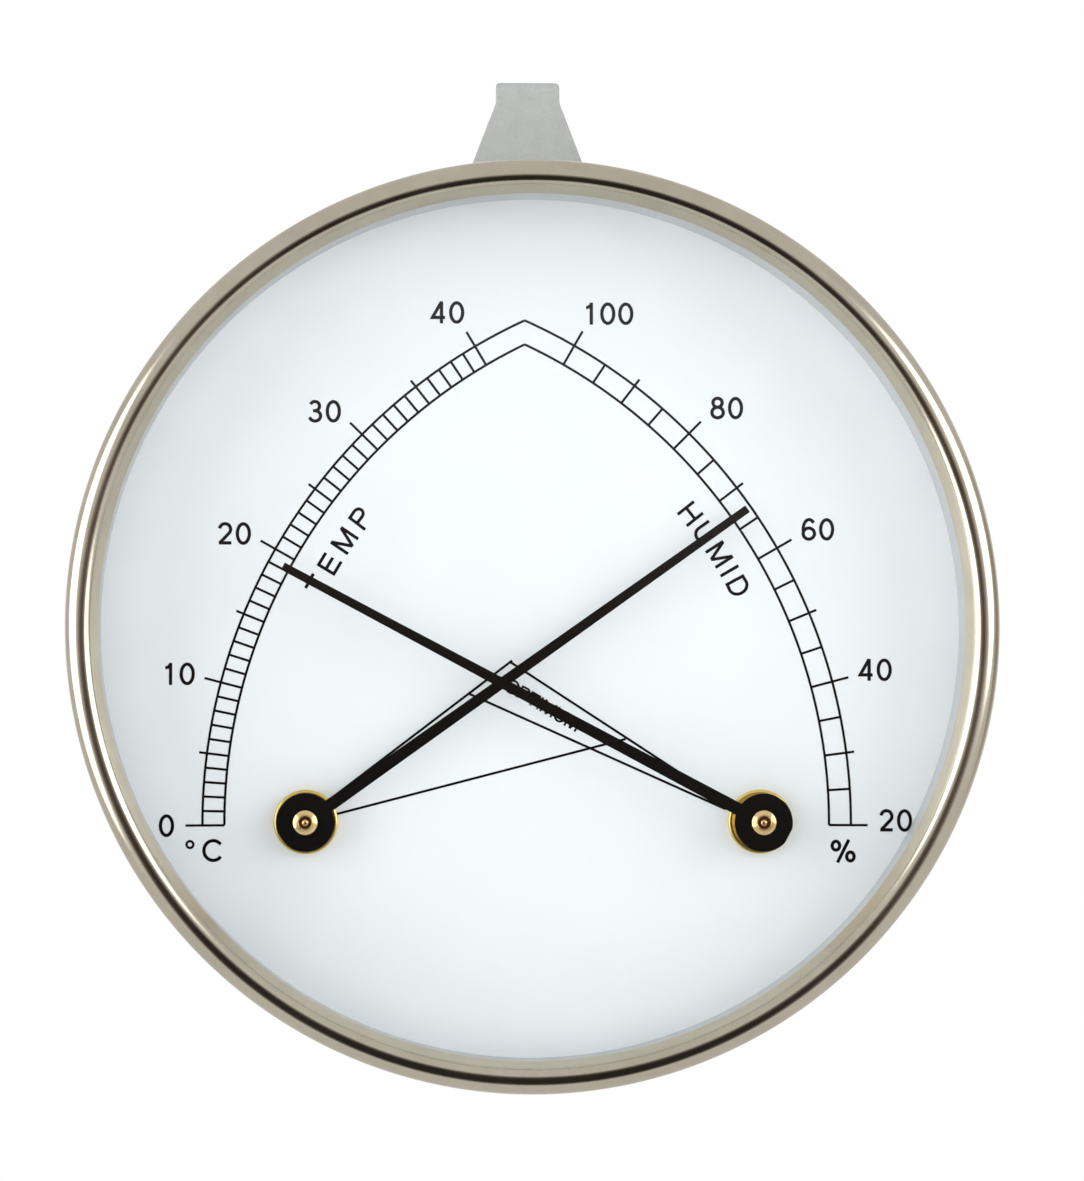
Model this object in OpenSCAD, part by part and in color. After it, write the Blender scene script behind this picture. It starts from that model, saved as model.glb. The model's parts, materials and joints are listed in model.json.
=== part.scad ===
// Round wall thermo-hygrometer with two crossing pointers.
// The dial faces -Y, up is +Z and +X is to the right of somebody who reads it.
// The origin is where the hook of the hanger rests on its nail.

/* [Bezel and case] */
// Outside diameter of the bezel
bezel_d = 103; // [96:1:130]
// Radial width of the rolled ring at the front
ring_w = 3.64; // [3.4:0.02:4.2]
// Outside radius of the ring's roll, from its crown out to the skirt
roll_r = 1.82; // [1.4:0.02:2.2]
// Radius of the crown's inner shoulder
crown_r = 1; // [0.7:0.05:1.2]
// Slope of the straight bevel inside the crown, in degrees
bevel_angle = 52; // [40:1:54]
// Thickness of the bezel's sheet
bezel_sheet = 0.5; // [0.3:0.05:0.6]
// Depth of the bezel's inner lip behind its crown
lip_depth = 2.6; // [2.6:0.1:5]
// How far the rear edge of the bezel is curled inwards
curl_w = 1.4; // [0.8:0.1:1.8]
// Depth from the bezel's crown to the back of the case
case_depth = 25.5; // [25:0.5:40]
// Thickness of the case's sheet
case_wall = 0.8; // [0.5:0.1:1]
// Radial width of the flange that the dial rests on
flange_w = 2.3; // [2:0.1:4]
// Radius of the case's rear edge
case_edge_r = 3; // [1.5:0.5:5]
// Number of air holes in the case's back
vent_count = 12; // [6:1:16]
// Diameter of an air hole
vent_d = 3.6; // [2:0.2:5]
// Radius of the circle of air holes
vent_ring_r = 15; // [12:0.5:17]

/* [Glass, spacer and dial] */
// Thickness of the glass
glass_t = 2; // [1:0.1:3]
// Distance that the spacer ring keeps between dial and glass
spacer_h = 7.2; // [6.8:0.1:10]
// How far the spacer ring stays back from the bezel's inner edge
spacer_back = 0.45; // [0.2:0.05:1]
// Thickness of the dial plate
dial_t = 0.8; // [0.5:0.1:1.5]
// Radial gap between the discs and the bezel's skirt
disc_gap = 0.2; // [0.1:0.05:0.5]

/* [Pointers] */
// Half the distance between the two pivots
hub_x = 25.5; // [25:0.1:27]
// How far the pair of pivots sits to the right of the middle of the dial
hub_shift = 0.2; // [-0.5:0.05:0.8]
// Distance of the pivots below the middle of the dial
hub_drop = 21.85; // [20:0.05:23]
// Length of a pointer from its pivot to its tip
hand_len = 60.6; // [52:0.2:64]
// Width of the blade at the disc
blade_w = 1.4; // [1:0.05:2]
// Width of the blade at the tip
tip_w = 0.9; // [0.5:0.05:1.4]
// Thickness of the blade and its disc
blade_t = 0.25; // [0.15:0.05:0.4]
// Diameter of a pointer's disc
hand_disc_d = 6.48; // [5:0.02:8]
// Length of the flat on the disc, opposite the blade
disc_flat_w = 1.7; // [0.5:0.1:3]
// Height of the hygrometer pointer above the dial
hygro_hand_h = 3; // [2.9:0.1:3.4]
// Height of the thermometer pointer above the dial
thermo_hand_h = 5; // [4.9:0.1:5.2]
// Temperature shown, in degrees Celsius
temperature = 19.05; // [5:0.05:35]
// Relative humidity shown, in per cent
humidity = 67.15; // [30:0.05:90]
// Outside diameter of a pointer's collet
collet_d = 2.75; // [2.4:0.05:3.5]
// Diameter of the recess that the arbor's end shows in
collet_recess_d = 1.45; // [1.2:0.05:1.8]
// How far a collet stands in front of its disc
collet_front = 0.6; // [0.3:0.05:0.9]
// How far a collet's sleeve reaches behind its disc
collet_rear = 0.85; // [0.5:0.05:1]
// Diameter of the brass collar round each pivot
collar_d = 7.2; // [6.8:0.1:9]
// Height of the collar above the dial
collar_h = 0.9; // [0.6:0.05:1.2]
// Diameter of the collar's shank
shank_d = 6; // [4.5:0.1:6]

/* [Movements] */
// Thickness of the base plates behind the dial
base_t = 0.8; // [0.6:0.1:1]
// Thickness of the rear bridges
bridge_t = 1; // [0.8:0.1:1.2]
// Length of the pillars between base plate and bridge
pillar_len = 6.4; // [6.4:0.1:6.6]
// Diameter of a pillar
pillar_d = 2.5; // [2.2:0.1:3]
// Distance of the thermometer's pillars from its pivot
thermo_pillar_r = 10.5; // [10.4:0.1:11]
// Distance of the hygrometer's pillars from its pivot
hygro_pillar_r = 8.5; // [8.3:0.1:9]
// Diameter of an arbor
arbor_d = 1.4; // [1.2:0.05:1.6]
// Diameter of an arbor's front end, inside the collet
arbor_tip_d = 0.86; // [0.7:0.02:1]
// Diameter of an arbor's rear pivot
pivot_d = 0.6; // [0.4:0.05:0.8]
// Radial clearance of a shaft in its bearing
run_gap = 0.04; // [0.02:0.01:0.06]
// Radial clearance of a piece pressed on its arbor
seat_gap = 0.02; // [0.01:0.01:0.03]

/* [Thermometer] */
// Diameter of the hub that grips the coil
coil_hub_d = 4; // [3:0.1:5]
// Thickness of the bimetal strip
coil_t = 0.4; // [0.2:0.05:0.6]
// Width of the bimetal strip
coil_w = 3; // [2:0.1:3.4]
// Middle of the strip's outer turn
coil_out_r = 8.5; // [7:0.1:8.6]
// Turns of the coil
coil_turns = 5; // [3:1:6]
// Diameter of the pin that holds the coil's outer end
stud_d = 1.2; // [0.8:0.1:1.6]
// Radius of the boss that the regulator turns on
boss_r = 2.2; // [1.8:0.1:2.6]
// Thickness of the regulator
regulator_t = 0.7; // [0.5:0.1:0.8]
// Width of the regulator's arms
regulator_w = 2.4; // [2:0.1:3]
// Distance of the regulator's finger from the pivot
finger_r = 8; // [7:0.1:9]

/* [Hygrometer] */
// Lean of the hair to the right of upright, in degrees
hair_lean = 15; // [12:0.5:18]
// Diameter of the pulley's groove
pulley_d = 2.5; // [2:0.05:2.8]
// Diameter of the pulley's cheeks
cheek_d = 4.4; // [3.6:0.1:5]
// Diameter of the pull thread
thread_d = 0.24; // [0.2:0.02:0.36]
// Distance from the pivot to the near end of the hair link
link_from = 6; // [5.5:0.1:8]
// Length of the hair link
link_len = 3; // [2:0.1:4]
// Diameter of the hair link
link_d = 1.2; // [1:0.05:1.6]
// Diameter of one strand of hair
strand_d = 0.22; // [0.14:0.02:0.26]
// Distance from the pivot to the middle of the hair clamp
clamp_at = 58; // [56:0.5:58.5]
// Size of the hair clamp along the hair and across it
clamp_w = 2.4; // [2:0.1:2.8]
// Distance between the hair and the pivot of the hair lever
lever_reach = 5.39; // [5:0.05:5.8]
// Distance from the lever's pivot to its adjuster
tail_len = 10; // [9:0.1:12]
// Thickness of the hair lever
lever_t = 1; // [0.8:0.1:1.1]
// Offset of the adjuster's eccentric
eccentric = 0.5; // [0.3:0.05:0.5]
// Radius of the adjuster's eccentric
eccentric_r = 1.4; // [1.2:0.05:1.4]
// Radius of the adjuster's long head
adjuster_r = 2; // [1.95:0.05:2.3]
// Thickness of the flat hairspring's strip
spring_t = 0.18; // [0.12:0.02:0.24]
// Width of the hairspring's strip
spring_w = 0.9; // [0.6:0.1:1.1]
// Middle of the hairspring's outer turn
spring_out_r = 5; // [4.4:0.1:5.2]
// Turns of the hairspring
spring_turns = 6; // [4:1:7]

/* [Hanger] */
// Height of the hook's seat above the bezel's top edge
hook_rise = 11.6; // [10:0.1:18]
// Thickness of the hanger's sheet
hanger_t = 1; // [0.8:0.1:1.5]
// Width of the hanger's neck
neck_w = 7.4; // [6:0.1:9]
// Height of the neck, from its top down to the flare
neck_h = 2.5; // [1.5:0.1:4]
// Lean of the flared edges, in degrees
flare_angle = 21; // [15:1:30]
// Width of the hanger where it is riveted to the case
foot_w = 17; // [16:0.5:24]
// Open depth of the hook
throat = 5; // [4.5:0.1:8]
// Length of the hook's rear leaf below the seat
leaf_h = 6; // [5:0.5:9]
// Inside radius of the hook's bends
bend_r = 0.4; // [0.2:0.1:1]
// Distance of the rivets below the hook's seat
rivet_drop = 24.5; // [23.5:0.1:26]
// Distance between the rivets
rivet_pitch = 9.6; // [8:0.2:12]
// Diameter of a rivet's shank
rivet_d = 2.4; // [2:0.1:3]

/* [Hidden] */
$fn = 72;

// Angles on the two scales, counted upwards from the level line through both pivots
deg_per_c = 1.4725;
deg_per_percent = 0.75;
scale_start_percent = 20;
thermo_angle = temperature * deg_per_c;
hygro_angle = (humidity - scale_start_percent) * deg_per_percent;

// Radii from the middle of the dial
bezel_r = bezel_d / 2;
crown_x = bezel_r - roll_r;
bezel_in_r = bezel_r - ring_w;
skirt_in_r = bezel_r - bezel_sheet;
disc_r = skirt_in_r - disc_gap;
case_r = disc_r - flange_w;
spacer_in_r = bezel_in_r + spacer_back;
back_flat_r = case_r - case_edge_r;

// Inside radius of the curl that holds the case's flange
curl_r = 0.15;

// Depths behind the bezel's crown
glass_at = lip_depth;
spacer_at = glass_at + glass_t;
dial_at = spacer_at + spacer_h;
flange_at = dial_at + dial_t;
curl_at = flange_at + case_wall;
back_at = case_depth - case_wall;

// Place of the bezel's crown and the case's back in the part's own frame
back_y = -throat / 2 - hanger_t;
crown_y = back_y - case_depth;

// Depths behind the dial's front face
base_at = dial_t;
base_rear = base_at + base_t;
bridge_at = base_rear + pillar_len;
bridge_rear = bridge_at + bridge_t;
case_inside = back_at - dial_at;
end_shake = 0.1;
axial_gap = 0.1;
rivet_flare_t = 0.4;

// Radii of the movements
arbor_r = arbor_d / 2;
tip_r = arbor_tip_d / 2;
pivot_r = pivot_d / 2;
shank_r = shank_d / 2;
pillar_r = pillar_d / 2;
bearing_r = arbor_r + run_gap;
seat_r = arbor_r + seat_gap;
pivot_hole_r = pivot_r + run_gap;
tenon_r = 0.8;
tenon_gap = 0.03;
screw_r = 0.6;
screw_hole_r = 0.8;
screw_head_r = 1.6;
screw_head_h = 0.9;
screw_grip = 3;
tapped_depth = 3.5;
slot_w = 0.5;
slot_depth = 0.45;
plate_end_r = 2.6;
plate_lobe = 3.2;
bridge_lobe = 2.4;
bridge_w = 2 * plate_end_r - 0.4;
shank_flare = 0.6;
arbor_set_back = 0.15;
collet_lip = 0.32;
hand_bore_gap = 0.02;

// How far a cut runs past the piece that it cuts
over = 1;

// Coil, regulator and hairspring
touch_gap = 0.05;
coil_in_r = coil_hub_d / 2 + coil_t / 2 + touch_gap;
coil_clearance = 1.4;
coil_hub_margin = 0.3;
coil_from = base_rear + coil_clearance;
coil_hub_from = coil_from - coil_hub_margin;
coil_hub_len = coil_w + 2 * coil_hub_margin;
stud_r = stud_d / 2;
stud_at = coil_out_r + coil_t / 2 + stud_r + touch_gap;
stud_tenon_r = stud_r * 0.65;
regulator_at = bridge_rear + axial_gap;
regulator_rear = regulator_at + regulator_t;
regulator_ring_r = 4.2;
boss_cap_r = boss_r + 0.55;
boss_cap_t = 0.4;
boss_end = regulator_rear + axial_gap + boss_cap_t;
finger_w = 1.6;
finger_end = case_inside - 0.5;
slot_half_angle = 11;
inward_angle = atan2(-hub_drop, -hub_x);
regulator_slot_w = 2.2;

pulley_from = base_rear + 1;
groove_w = 2;
cheek_t = 0.4;
groove_from = pulley_from + cheek_t;
groove_mid = groove_from + groove_w / 2;
spring_hub_r = 1.3;
spring_hub_end = bridge_at - 0.8;
spring_in_r = spring_hub_r + spring_t / 2 + touch_gap;
spring_from = spring_hub_end - spring_w - 0.3;
spring_stud_r = 0.5;
spring_stud_at = spring_out_r + spring_t / 2 + spring_stud_r + touch_gap;
spring_tenon_r = 0.3;
spring_arm_w = 2.2;
wrap_angle = 250;
thread_r = thread_d / 2;
pull_y = -(pulley_d / 2 + thread_r + seat_gap);
thread_from = 0.75;
strand_ring_r = strand_d * 1.25;
hair_angle = -(90 - hair_lean);

// Hair lever and its adjuster, in the frame whose x runs along the hair
lever_at = base_rear + 0.3;
lever_rear = lever_at + lever_t;
lever_y = pull_y + lever_reach;
lever_pivot_r = 1.2;
lever_disc_r = 2.6;
lever_bar_w = 3.6;
lever_tail_w = 5.4;
lever_slot_gap = 0.09;
lever_slot_half = eccentric_r + lever_slot_gap;
adjuster_at = clamp_at - tail_len;
adjuster_tip_r = eccentric_r - eccentric - 0.15;
adjuster_end = case_inside - 1;
adjuster_slot_w = 0.8;
adjuster_slot_depth = 1;
clamp_z = groove_mid;
clamp_h = 2 * (clamp_z - lever_rear);
adjuster_head_gap = 0.15;
lever_screw_head_r = 2;
lever_slot_back = 0.6;
lever_slot_ahead = 0.3;
hygro_base_w = 12;
hygro_base_shift = 0.8;
hygro_base_margin = 5;
hygro_base_len = clamp_at + hygro_base_margin;
access_hole_r = 3;

// Hanger, measured from the hook's seat
axis_drop = bezel_r + hook_rise;
foot_margin = 5;
foot_top = hanger_t - neck_h - (foot_w - neck_w) / 2 / tan(flare_angle);
foot_bottom = -rivet_drop - foot_margin;
foot_corner_r = 4;
neck_corner_r = 0.45;
rivet_head_r = rivet_d * 0.9;
rivet_head_h = 0.9;

// Puts a shape made in the dial's frame where the instrument is.
// In the dial's frame x runs right, y runs down and z is the depth behind the bezel's crown.
module seated() {
  translate([0, crown_y, -axis_drop]) rotate([-90, 0, 0]) children();
}

// Place of a pivot in the dial's frame: side is 1 at the right and -1 at the left
function hub_place(side, depth) = [side * hub_x + hub_shift, hub_drop, depth];

// The same, round one of the two pivots, with z counted from the dial's front face
module at_hub(side) {
  seated() translate(hub_place(side, dial_at)) children();
}

// The frame of the thermometer, whose x runs from the pivot towards the middle of the dial
module thermo_frame() {
  at_hub(1) rotate([0, 0, inward_angle]) children();
}

// The frame of the hygrometer, whose x runs along the hair
module hygro_frame() {
  at_hub(-1) rotate([0, 0, hair_angle]) children();
}

module ring(outer, inner, h) {
  difference() {
    cylinder(r = outer, h = h);
    translate([0, 0, -over]) cylinder(r = inner, h = h + 2 * over);
  }
}

// A flat spiral strip, wound from the inner to the outer radius and ending at angle 0
module spiral_strip(r_in, r_out, turns, t, h, steps = 24) {
  count = turns * steps;
  radius = [for (i = [0:count]) r_in + (r_out - r_in) * i / count];
  angle = [for (i = [0:count]) 360 * (i - count) / steps];
  outside = [for (i = [0:count]) (radius[i] + t / 2) * [cos(angle[i]), sin(angle[i])]];
  inside = [for (i = [count:-1:0]) (radius[i] - t / 2) * [cos(angle[i]), sin(angle[i])]];
  linear_extrude(h) polygon(concat(outside, inside));
}

// A bar with round ends between two points
module bar(a, b, w, h) {
  d = b - a;
  linear_extrude(h) {
    translate(a) circle(r = w / 2);
    translate(b) circle(r = w / 2);
    translate(a) rotate(atan2(d[1], d[0])) translate([0, -w / 2]) square([norm(d), w]);
  }
}

// Points on an arc about [x, y], from one angle to another, counted from the front outwards
function arc_points(x, y, r, from, to, steps = 10) =
  [for (i = [0:steps]) let (a = from + (to - from) * i / steps) [x + r * sin(a), y - r * cos(a)]];

// One surface of the bezel's sheet in section, from the lip round to the rear curl,
// inset from the outside surface by nothing or by the sheet's thickness
function bezel_surface(inset) =
  let (
    shoulder = arc_points(crown_x, crown_r, crown_r - inset, -bevel_angle, 0),
    roll = arc_points(crown_x, roll_r, roll_r - inset, 0, 90),
    curl = arc_points(skirt_in_r - curl_r, curl_at - curl_r, curl_r + bezel_sheet - inset, 90, 180),
    lip_x = bezel_in_r + inset,
    bevel_end = shoulder[0][1] + (shoulder[0][0] - lip_x) * tan(bevel_angle)
  )
  concat(
    [[lip_x, lip_depth], [lip_x, bevel_end]],
    shoulder,
    [for (i = [1:len(roll) - 1]) roll[i]],
    curl,
    [[skirt_in_r - curl_w, curl_at + bezel_sheet - inset]]
  );

// Pressed ring: lip and bevel inside the crown, roll and skirt outside it, curled in at the rear
module bezel() {
  outside = bezel_surface(0);
  inside = bezel_surface(bezel_sheet);
  color("lightgray") seated() rotate_extrude()
    polygon(concat(outside, [for (i = [len(inside) - 1:-1:0]) inside[i]]));
}

module glass() {
  color("azure", 0.4) seated() translate([0, 0, glass_at]) cylinder(r = disc_r, h = glass_t);
}

module spacer_ring() {
  bevel = 0.4;
  color("whitesmoke") seated() translate([0, 0, spacer_at]) rotate_extrude()
    polygon([[spacer_in_r + bevel, 0], [disc_r, 0], [disc_r, spacer_h],
      [spacer_in_r, spacer_h], [spacer_in_r, bevel]]);
}

module dial_plate() {
  color("white") seated() translate([0, 0, dial_at]) difference() {
    cylinder(r = disc_r, h = dial_t);
    for (side = [-1, 1]) {
      translate(hub_place(side, -over))
        cylinder(r = shank_r + tenon_gap, h = dial_t + 2 * over);
    }
  }
}

// Drawn cup: flange, wall with rounded rear edge, and back with its holes
module case_cup() {
  inner_edge_r = case_edge_r - case_wall;
  color("silver") difference() {
    seated() rotate_extrude() {
      translate([case_r - case_wall, flange_at]) square([disc_r - case_r + case_wall, case_wall]);
      translate([case_r - case_wall, flange_at]) {
        square([case_wall, case_depth - case_edge_r - flange_at]);
      }
      translate([back_flat_r, case_depth - case_edge_r]) difference() {
        intersection() {
          circle(r = case_edge_r);
          square(case_edge_r);
        }
        circle(r = inner_edge_r);
      }
      translate([0, back_at]) square([back_flat_r, case_wall]);
    }
    seated() translate([0, 0, back_at - over]) {
      for (i = [0:vent_count - 1]) {
        rotate([0, 0, i * 360 / vent_count]) translate([vent_ring_r, 0, 0])
          cylinder(d = vent_d, h = case_wall + 2 * over);
      }
      for (side = [-1, 1]) {
        translate([side * rivet_pitch / 2, rivet_drop - axis_drop, 0])
          cylinder(r = rivet_d / 2 + tenon_gap, h = case_wall + 2 * over);
      }
    }
    // access hole for the hygrometer's adjuster
    hygro_frame() translate([adjuster_at, lever_y, case_inside - over])
      cylinder(r = access_hole_r, h = case_wall + 2 * over);
    // curved slot for the thermometer's regulator
    thermo_frame() translate([0, 0, case_inside - over]) regulator_slot(case_wall + 2 * over);
  }
}

// Curved slot with round ends, on the arc that the regulator's finger moves along
module regulator_slot(h) {
  rotate([0, 0, 180 - slot_half_angle])
    rotate_extrude(angle = 2 * slot_half_angle)
      translate([finger_r - regulator_slot_w / 2, 0]) square([regulator_slot_w, h]);
  for (end = [-1, 1]) {
    rotate([0, 0, 180 + end * slot_half_angle]) translate([finger_r, 0, 0])
      cylinder(d = regulator_slot_w, h = h);
  }
}

// Front outline of the hanger, in x and z
module hanger_outline() {
  half_neck = neck_w / 2;
  half_foot = foot_w / 2;
  c = neck_corner_r;
  polygon([[-half_neck, hanger_t - c], [-half_neck, hanger_t - neck_h], [-half_foot, foot_top],
    [-half_foot, foot_bottom + foot_corner_r], [half_foot, foot_bottom + foot_corner_r],
    [half_foot, foot_top], [half_neck, hanger_t - neck_h], [half_neck, hanger_t - c]]);
  translate([-half_neck + c, hanger_t - 2 * c]) square([neck_w - 2 * c, 2 * c]);
  for (side = [-1, 1]) {
    translate([side * (half_neck - c), hanger_t - c]) circle(r = c);
    translate([side * (half_foot - foot_corner_r), foot_bottom + foot_corner_r])
      circle(r = foot_corner_r);
  }
  translate([-half_foot + foot_corner_r, foot_bottom])
    square([foot_w - 2 * foot_corner_r, 2 * foot_corner_r]);
}

// Side profile of the hanger in y and z: front leaf, two bends, top and rear leaf
module hanger_profile() {
  r_out = bend_r + hanger_t;
  half = throat / 2;
  translate([-half - hanger_t, foot_bottom]) square([hanger_t, -bend_r - foot_bottom]);
  translate([half, -leaf_h]) square([hanger_t, leaf_h - bend_r]);
  translate([-half + bend_r, 0]) square([throat - 2 * bend_r, hanger_t]);
  for (side = [-1, 1]) {
    translate([side * (half - bend_r), -bend_r]) difference() {
      circle(r = r_out);
      circle(r = bend_r);
      translate([-2 * r_out, -4 * r_out]) square(4 * r_out);
      translate([side > 0 ? -2 * r_out : 0, 0]) square(2 * r_out);
    }
  }
}

module hanger() {
  depth = throat + 2 * hanger_t;
  color("silver") difference() {
    intersection() {
      translate([-foot_w, 0, 0]) rotate([90, 0, 90]) linear_extrude(2 * foot_w) hanger_profile();
      union() {
        translate([0, -throat / 2 + bend_r, 0]) rotate([90, 0, 0])
          linear_extrude(depth) hanger_outline();
        hook_width(depth);
      }
    }
    for (side = [-1, 1]) {
      translate([side * rivet_pitch / 2, -throat / 2 + over, -rivet_drop]) rotate([90, 0, 0])
        cylinder(r = rivet_d / 2 + tenon_gap, h = hanger_t + 2 * over);
    }
  }
}

// Width of the top and the rear leaf, with the leaf's end rounded
module hook_width(depth) {
  end_r = 2;
  rotate([90, 0, 0]) translate([0, 0, -depth]) linear_extrude(depth + throat / 2 - bend_r) {
    translate([-neck_w / 2, -leaf_h + end_r]) square([neck_w, leaf_h - end_r + hanger_t]);
    translate([-neck_w / 2 + end_r, -leaf_h]) square([neck_w - 2 * end_r, end_r]);
    for (side = [-1, 1]) {
      translate([side * (neck_w / 2 - end_r), -leaf_h + end_r]) circle(r = end_r);
    }
  }
}

// Two rivets: domed head behind the hanger, upset head inside the case
module hanger_rivets() {
  grip = hanger_t + case_wall;
  dome_r = (rivet_head_r * rivet_head_r + rivet_head_h * rivet_head_h) / (2 * rivet_head_h);
  color("gray") for (side = [-1, 1]) {
    translate([side * rivet_pitch / 2, back_y + hanger_t, -rivet_drop]) rotate([-90, 0, 0]) {
      translate([0, 0, -grip]) cylinder(d = rivet_d, h = grip + 0.1);
      translate([0, 0, -grip - rivet_head_h]) cylinder(r = rivet_head_r, h = rivet_head_h);
      intersection() {
        translate([0, 0, rivet_head_h - dome_r]) sphere(r = dome_r);
        cylinder(r = rivet_head_r, h = rivet_head_h);
      }
    }
  }
}

// Brass bush with a raised rim and a dished front, riveted behind the base plate
module collar(side) {
  r = collar_d / 2;
  rim_r = 0.18;
  floor_h = 0.25;
  floor_w = 1.4;
  floor_r = bearing_r + floor_w;
  rim_y = rim_r - collar_h;
  color("goldenrod") at_hub(side) rotate_extrude() {
    polygon([[bearing_r, -floor_h], [floor_r, -floor_h], [r - 2 * rim_r, rim_y], [r, rim_y], [r, 0],
      [shank_r, 0], [shank_r, base_rear], [shank_r + shank_flare, base_rear],
      [shank_r + shank_flare, base_rear + rivet_flare_t],
      [bearing_r, base_rear + rivet_flare_t]]);
    translate([r - rim_r, rim_y]) circle(r = rim_r);
  }
}

module thermo_collar() { collar(1); }

module hygro_collar() { collar(-1); }

// Pointer made pointing along x, with its front face up at z = 0
module hand_shape() {
  r = hand_disc_d / 2;
  flat_at = sqrt(r * r - disc_flat_w * disc_flat_w / 4);
  linear_extrude(blade_t) difference() {
    union() {
      circle(r = r);
      polygon([[0, -blade_w / 2], [hand_len, -tip_w / 2], [hand_len, tip_w / 2], [0, blade_w / 2]]);
    }
    circle(r = collet_d / 2 - collet_lip + hand_bore_gap);
    translate([-flat_at - r, -r]) square([r, 2 * r]);
  }
}

module thermo_pointer() {
  color("dimgray") at_hub(1) translate([0, 0, -thermo_hand_h - blade_t])
    rotate([0, 0, 180 + thermo_angle]) hand_shape();
}

module hygro_pointer() {
  color("dimgray") at_hub(-1) translate([0, 0, -hygro_hand_h - blade_t])
    rotate([0, 0, -hygro_angle]) hand_shape();
}

// Turned collet that grips the disc between its head and its sleeve
module collet(side, hand_h) {
  r = collet_d / 2;
  neck_r = r - collet_lip;
  recess_r = collet_recess_d / 2;
  hole_r = tip_r + seat_gap;
  disc_front = -hand_h - blade_t;
  disc_rear = -hand_h;
  front = disc_front - collet_front;
  recess_end = disc_front + blade_t / 2;
  rear = disc_rear + collet_rear;
  edge = 0.15;
  flange_h = 0.3;
  chamfer = 0.1;
  color("darkgoldenrod") at_hub(side) rotate_extrude()
    polygon([[recess_r, front], [r - edge, front], [r, front + edge], [r, disc_front],
      [neck_r, disc_front], [neck_r, disc_rear], [r, disc_rear], [r, disc_rear + flange_h],
      [neck_r, disc_rear + flange_h + chamfer], [neck_r, rear], [hole_r, rear],
      [hole_r, recess_end], [recess_r, recess_end]]);
}

module thermo_collet() { collet(1, thermo_hand_h); }

module hygro_collet() { collet(-1, hygro_hand_h); }

// Arbor with a domed front end, a body that runs in the collar and a rear pivot
module arbor(side, hand_h, rear_end) {
  front = -hand_h - blade_t - collet_front + arbor_set_back;
  dome_r = tip_r * 1.4;
  shoulder = -hand_h + collet_rear + touch_gap;
  color("silver") at_hub(side) rotate_extrude() {
    intersection() {
      translate([0, front + dome_r]) circle(r = dome_r);
      translate([0, front]) square([tip_r, dome_r]);
    }
    translate([0, front + dome_r]) square([tip_r, shoulder - front - dome_r]);
    translate([0, shoulder]) square([arbor_r, bridge_at - end_shake - shoulder]);
    translate([0, bridge_at - end_shake]) square([pivot_r, rear_end - bridge_at + end_shake]);
  }
}

module thermo_arbor() { arbor(1, thermo_hand_h, boss_end - 0.1); }

module hygro_arbor() { arbor(-1, hygro_hand_h, bridge_rear - 0.1); }

module coil_hub() {
  color("goldenrod") thermo_frame() translate([0, 0, coil_hub_from])
    ring(coil_hub_d / 2, seat_r, coil_hub_len);
}

module bimetal_coil() {
  color("peru") thermo_frame() translate([0, 0, coil_from])
    spiral_strip(coil_in_r, coil_out_r, coil_turns, coil_t, coil_w);
}

// Plate behind the dial that carries the thermometer's pillars
module thermo_base() {
  a = [0, -thermo_pillar_r];
  b = [0, thermo_pillar_r];
  color("khaki") thermo_frame() translate([0, 0, base_at]) difference() {
    union() {
      bar(a, b, 2 * plate_end_r, base_t);
      cylinder(r = shank_r + plate_lobe, h = base_t);
    }
    translate([0, 0, -over]) cylinder(r = shank_r + tenon_gap, h = base_t + 2 * over);
    for (p = [a, b]) {
      translate([p[0], p[1], -over]) cylinder(r = tenon_r + tenon_gap, h = base_t + 2 * over);
    }
  }
}

// Pillar with a tenon in the base plate and a tapped hole for the bridge's screw
module pillar(p) {
  translate([p[0], p[1], 0]) difference() {
    union() {
      translate([0, 0, base_at]) cylinder(r = tenon_r, h = base_t);
      translate([0, 0, base_rear]) cylinder(r = pillar_r, h = pillar_len);
    }
    translate([0, 0, bridge_at - tapped_depth])
      cylinder(r = screw_r + tenon_gap, h = tapped_depth + over);
  }
}

module bridge_screw(p) {
  translate([p[0], p[1], 0]) difference() {
    union() {
      translate([0, 0, bridge_at - screw_grip]) cylinder(r = screw_r, h = screw_grip + bridge_t);
      translate([0, 0, bridge_rear]) cylinder(r = screw_head_r, h = screw_head_h);
    }
    translate([0, 0, bridge_rear + screw_head_h]) driver_slot(screw_head_r, slot_w, slot_depth);
  }
}

// Cut for a screwdriver, downwards from z = 0 across a head of radius r
module driver_slot(r, w, depth) {
  translate([-w / 2, -r - over, -depth]) cube([w, 2 * (r + over), depth + over]);
}

module thermo_pillars() {
  color("khaki") thermo_frame() for (end = [-1, 1]) pillar([0, end * thermo_pillar_r]);
}

module thermo_bridge_screws() {
  color("slategray") thermo_frame() for (end = [-1, 1]) bridge_screw([0, end * thermo_pillar_r]);
}

module thermo_bridge() {
  a = [0, -thermo_pillar_r];
  b = [0, thermo_pillar_r];
  color("khaki") thermo_frame() difference() {
    union() {
      translate([0, 0, bridge_at]) bar(a, b, bridge_w, bridge_t);
      translate([0, 0, bridge_at]) cylinder(r = boss_r + bridge_lobe, h = bridge_t);
      translate([0, 0, bridge_rear]) cylinder(r = boss_r, h = boss_end - bridge_rear);
      translate([0, 0, boss_end - boss_cap_t]) cylinder(r = boss_cap_r, h = boss_cap_t);
    }
    translate([0, 0, bridge_at - over])
      cylinder(r = pivot_hole_r, h = boss_end - bridge_at + 2 * over);
    for (p = [a, b]) {
      translate([p[0], p[1], bridge_at - over]) cylinder(r = screw_hole_r, h = bridge_t + 2 * over);
    }
  }
}

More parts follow.
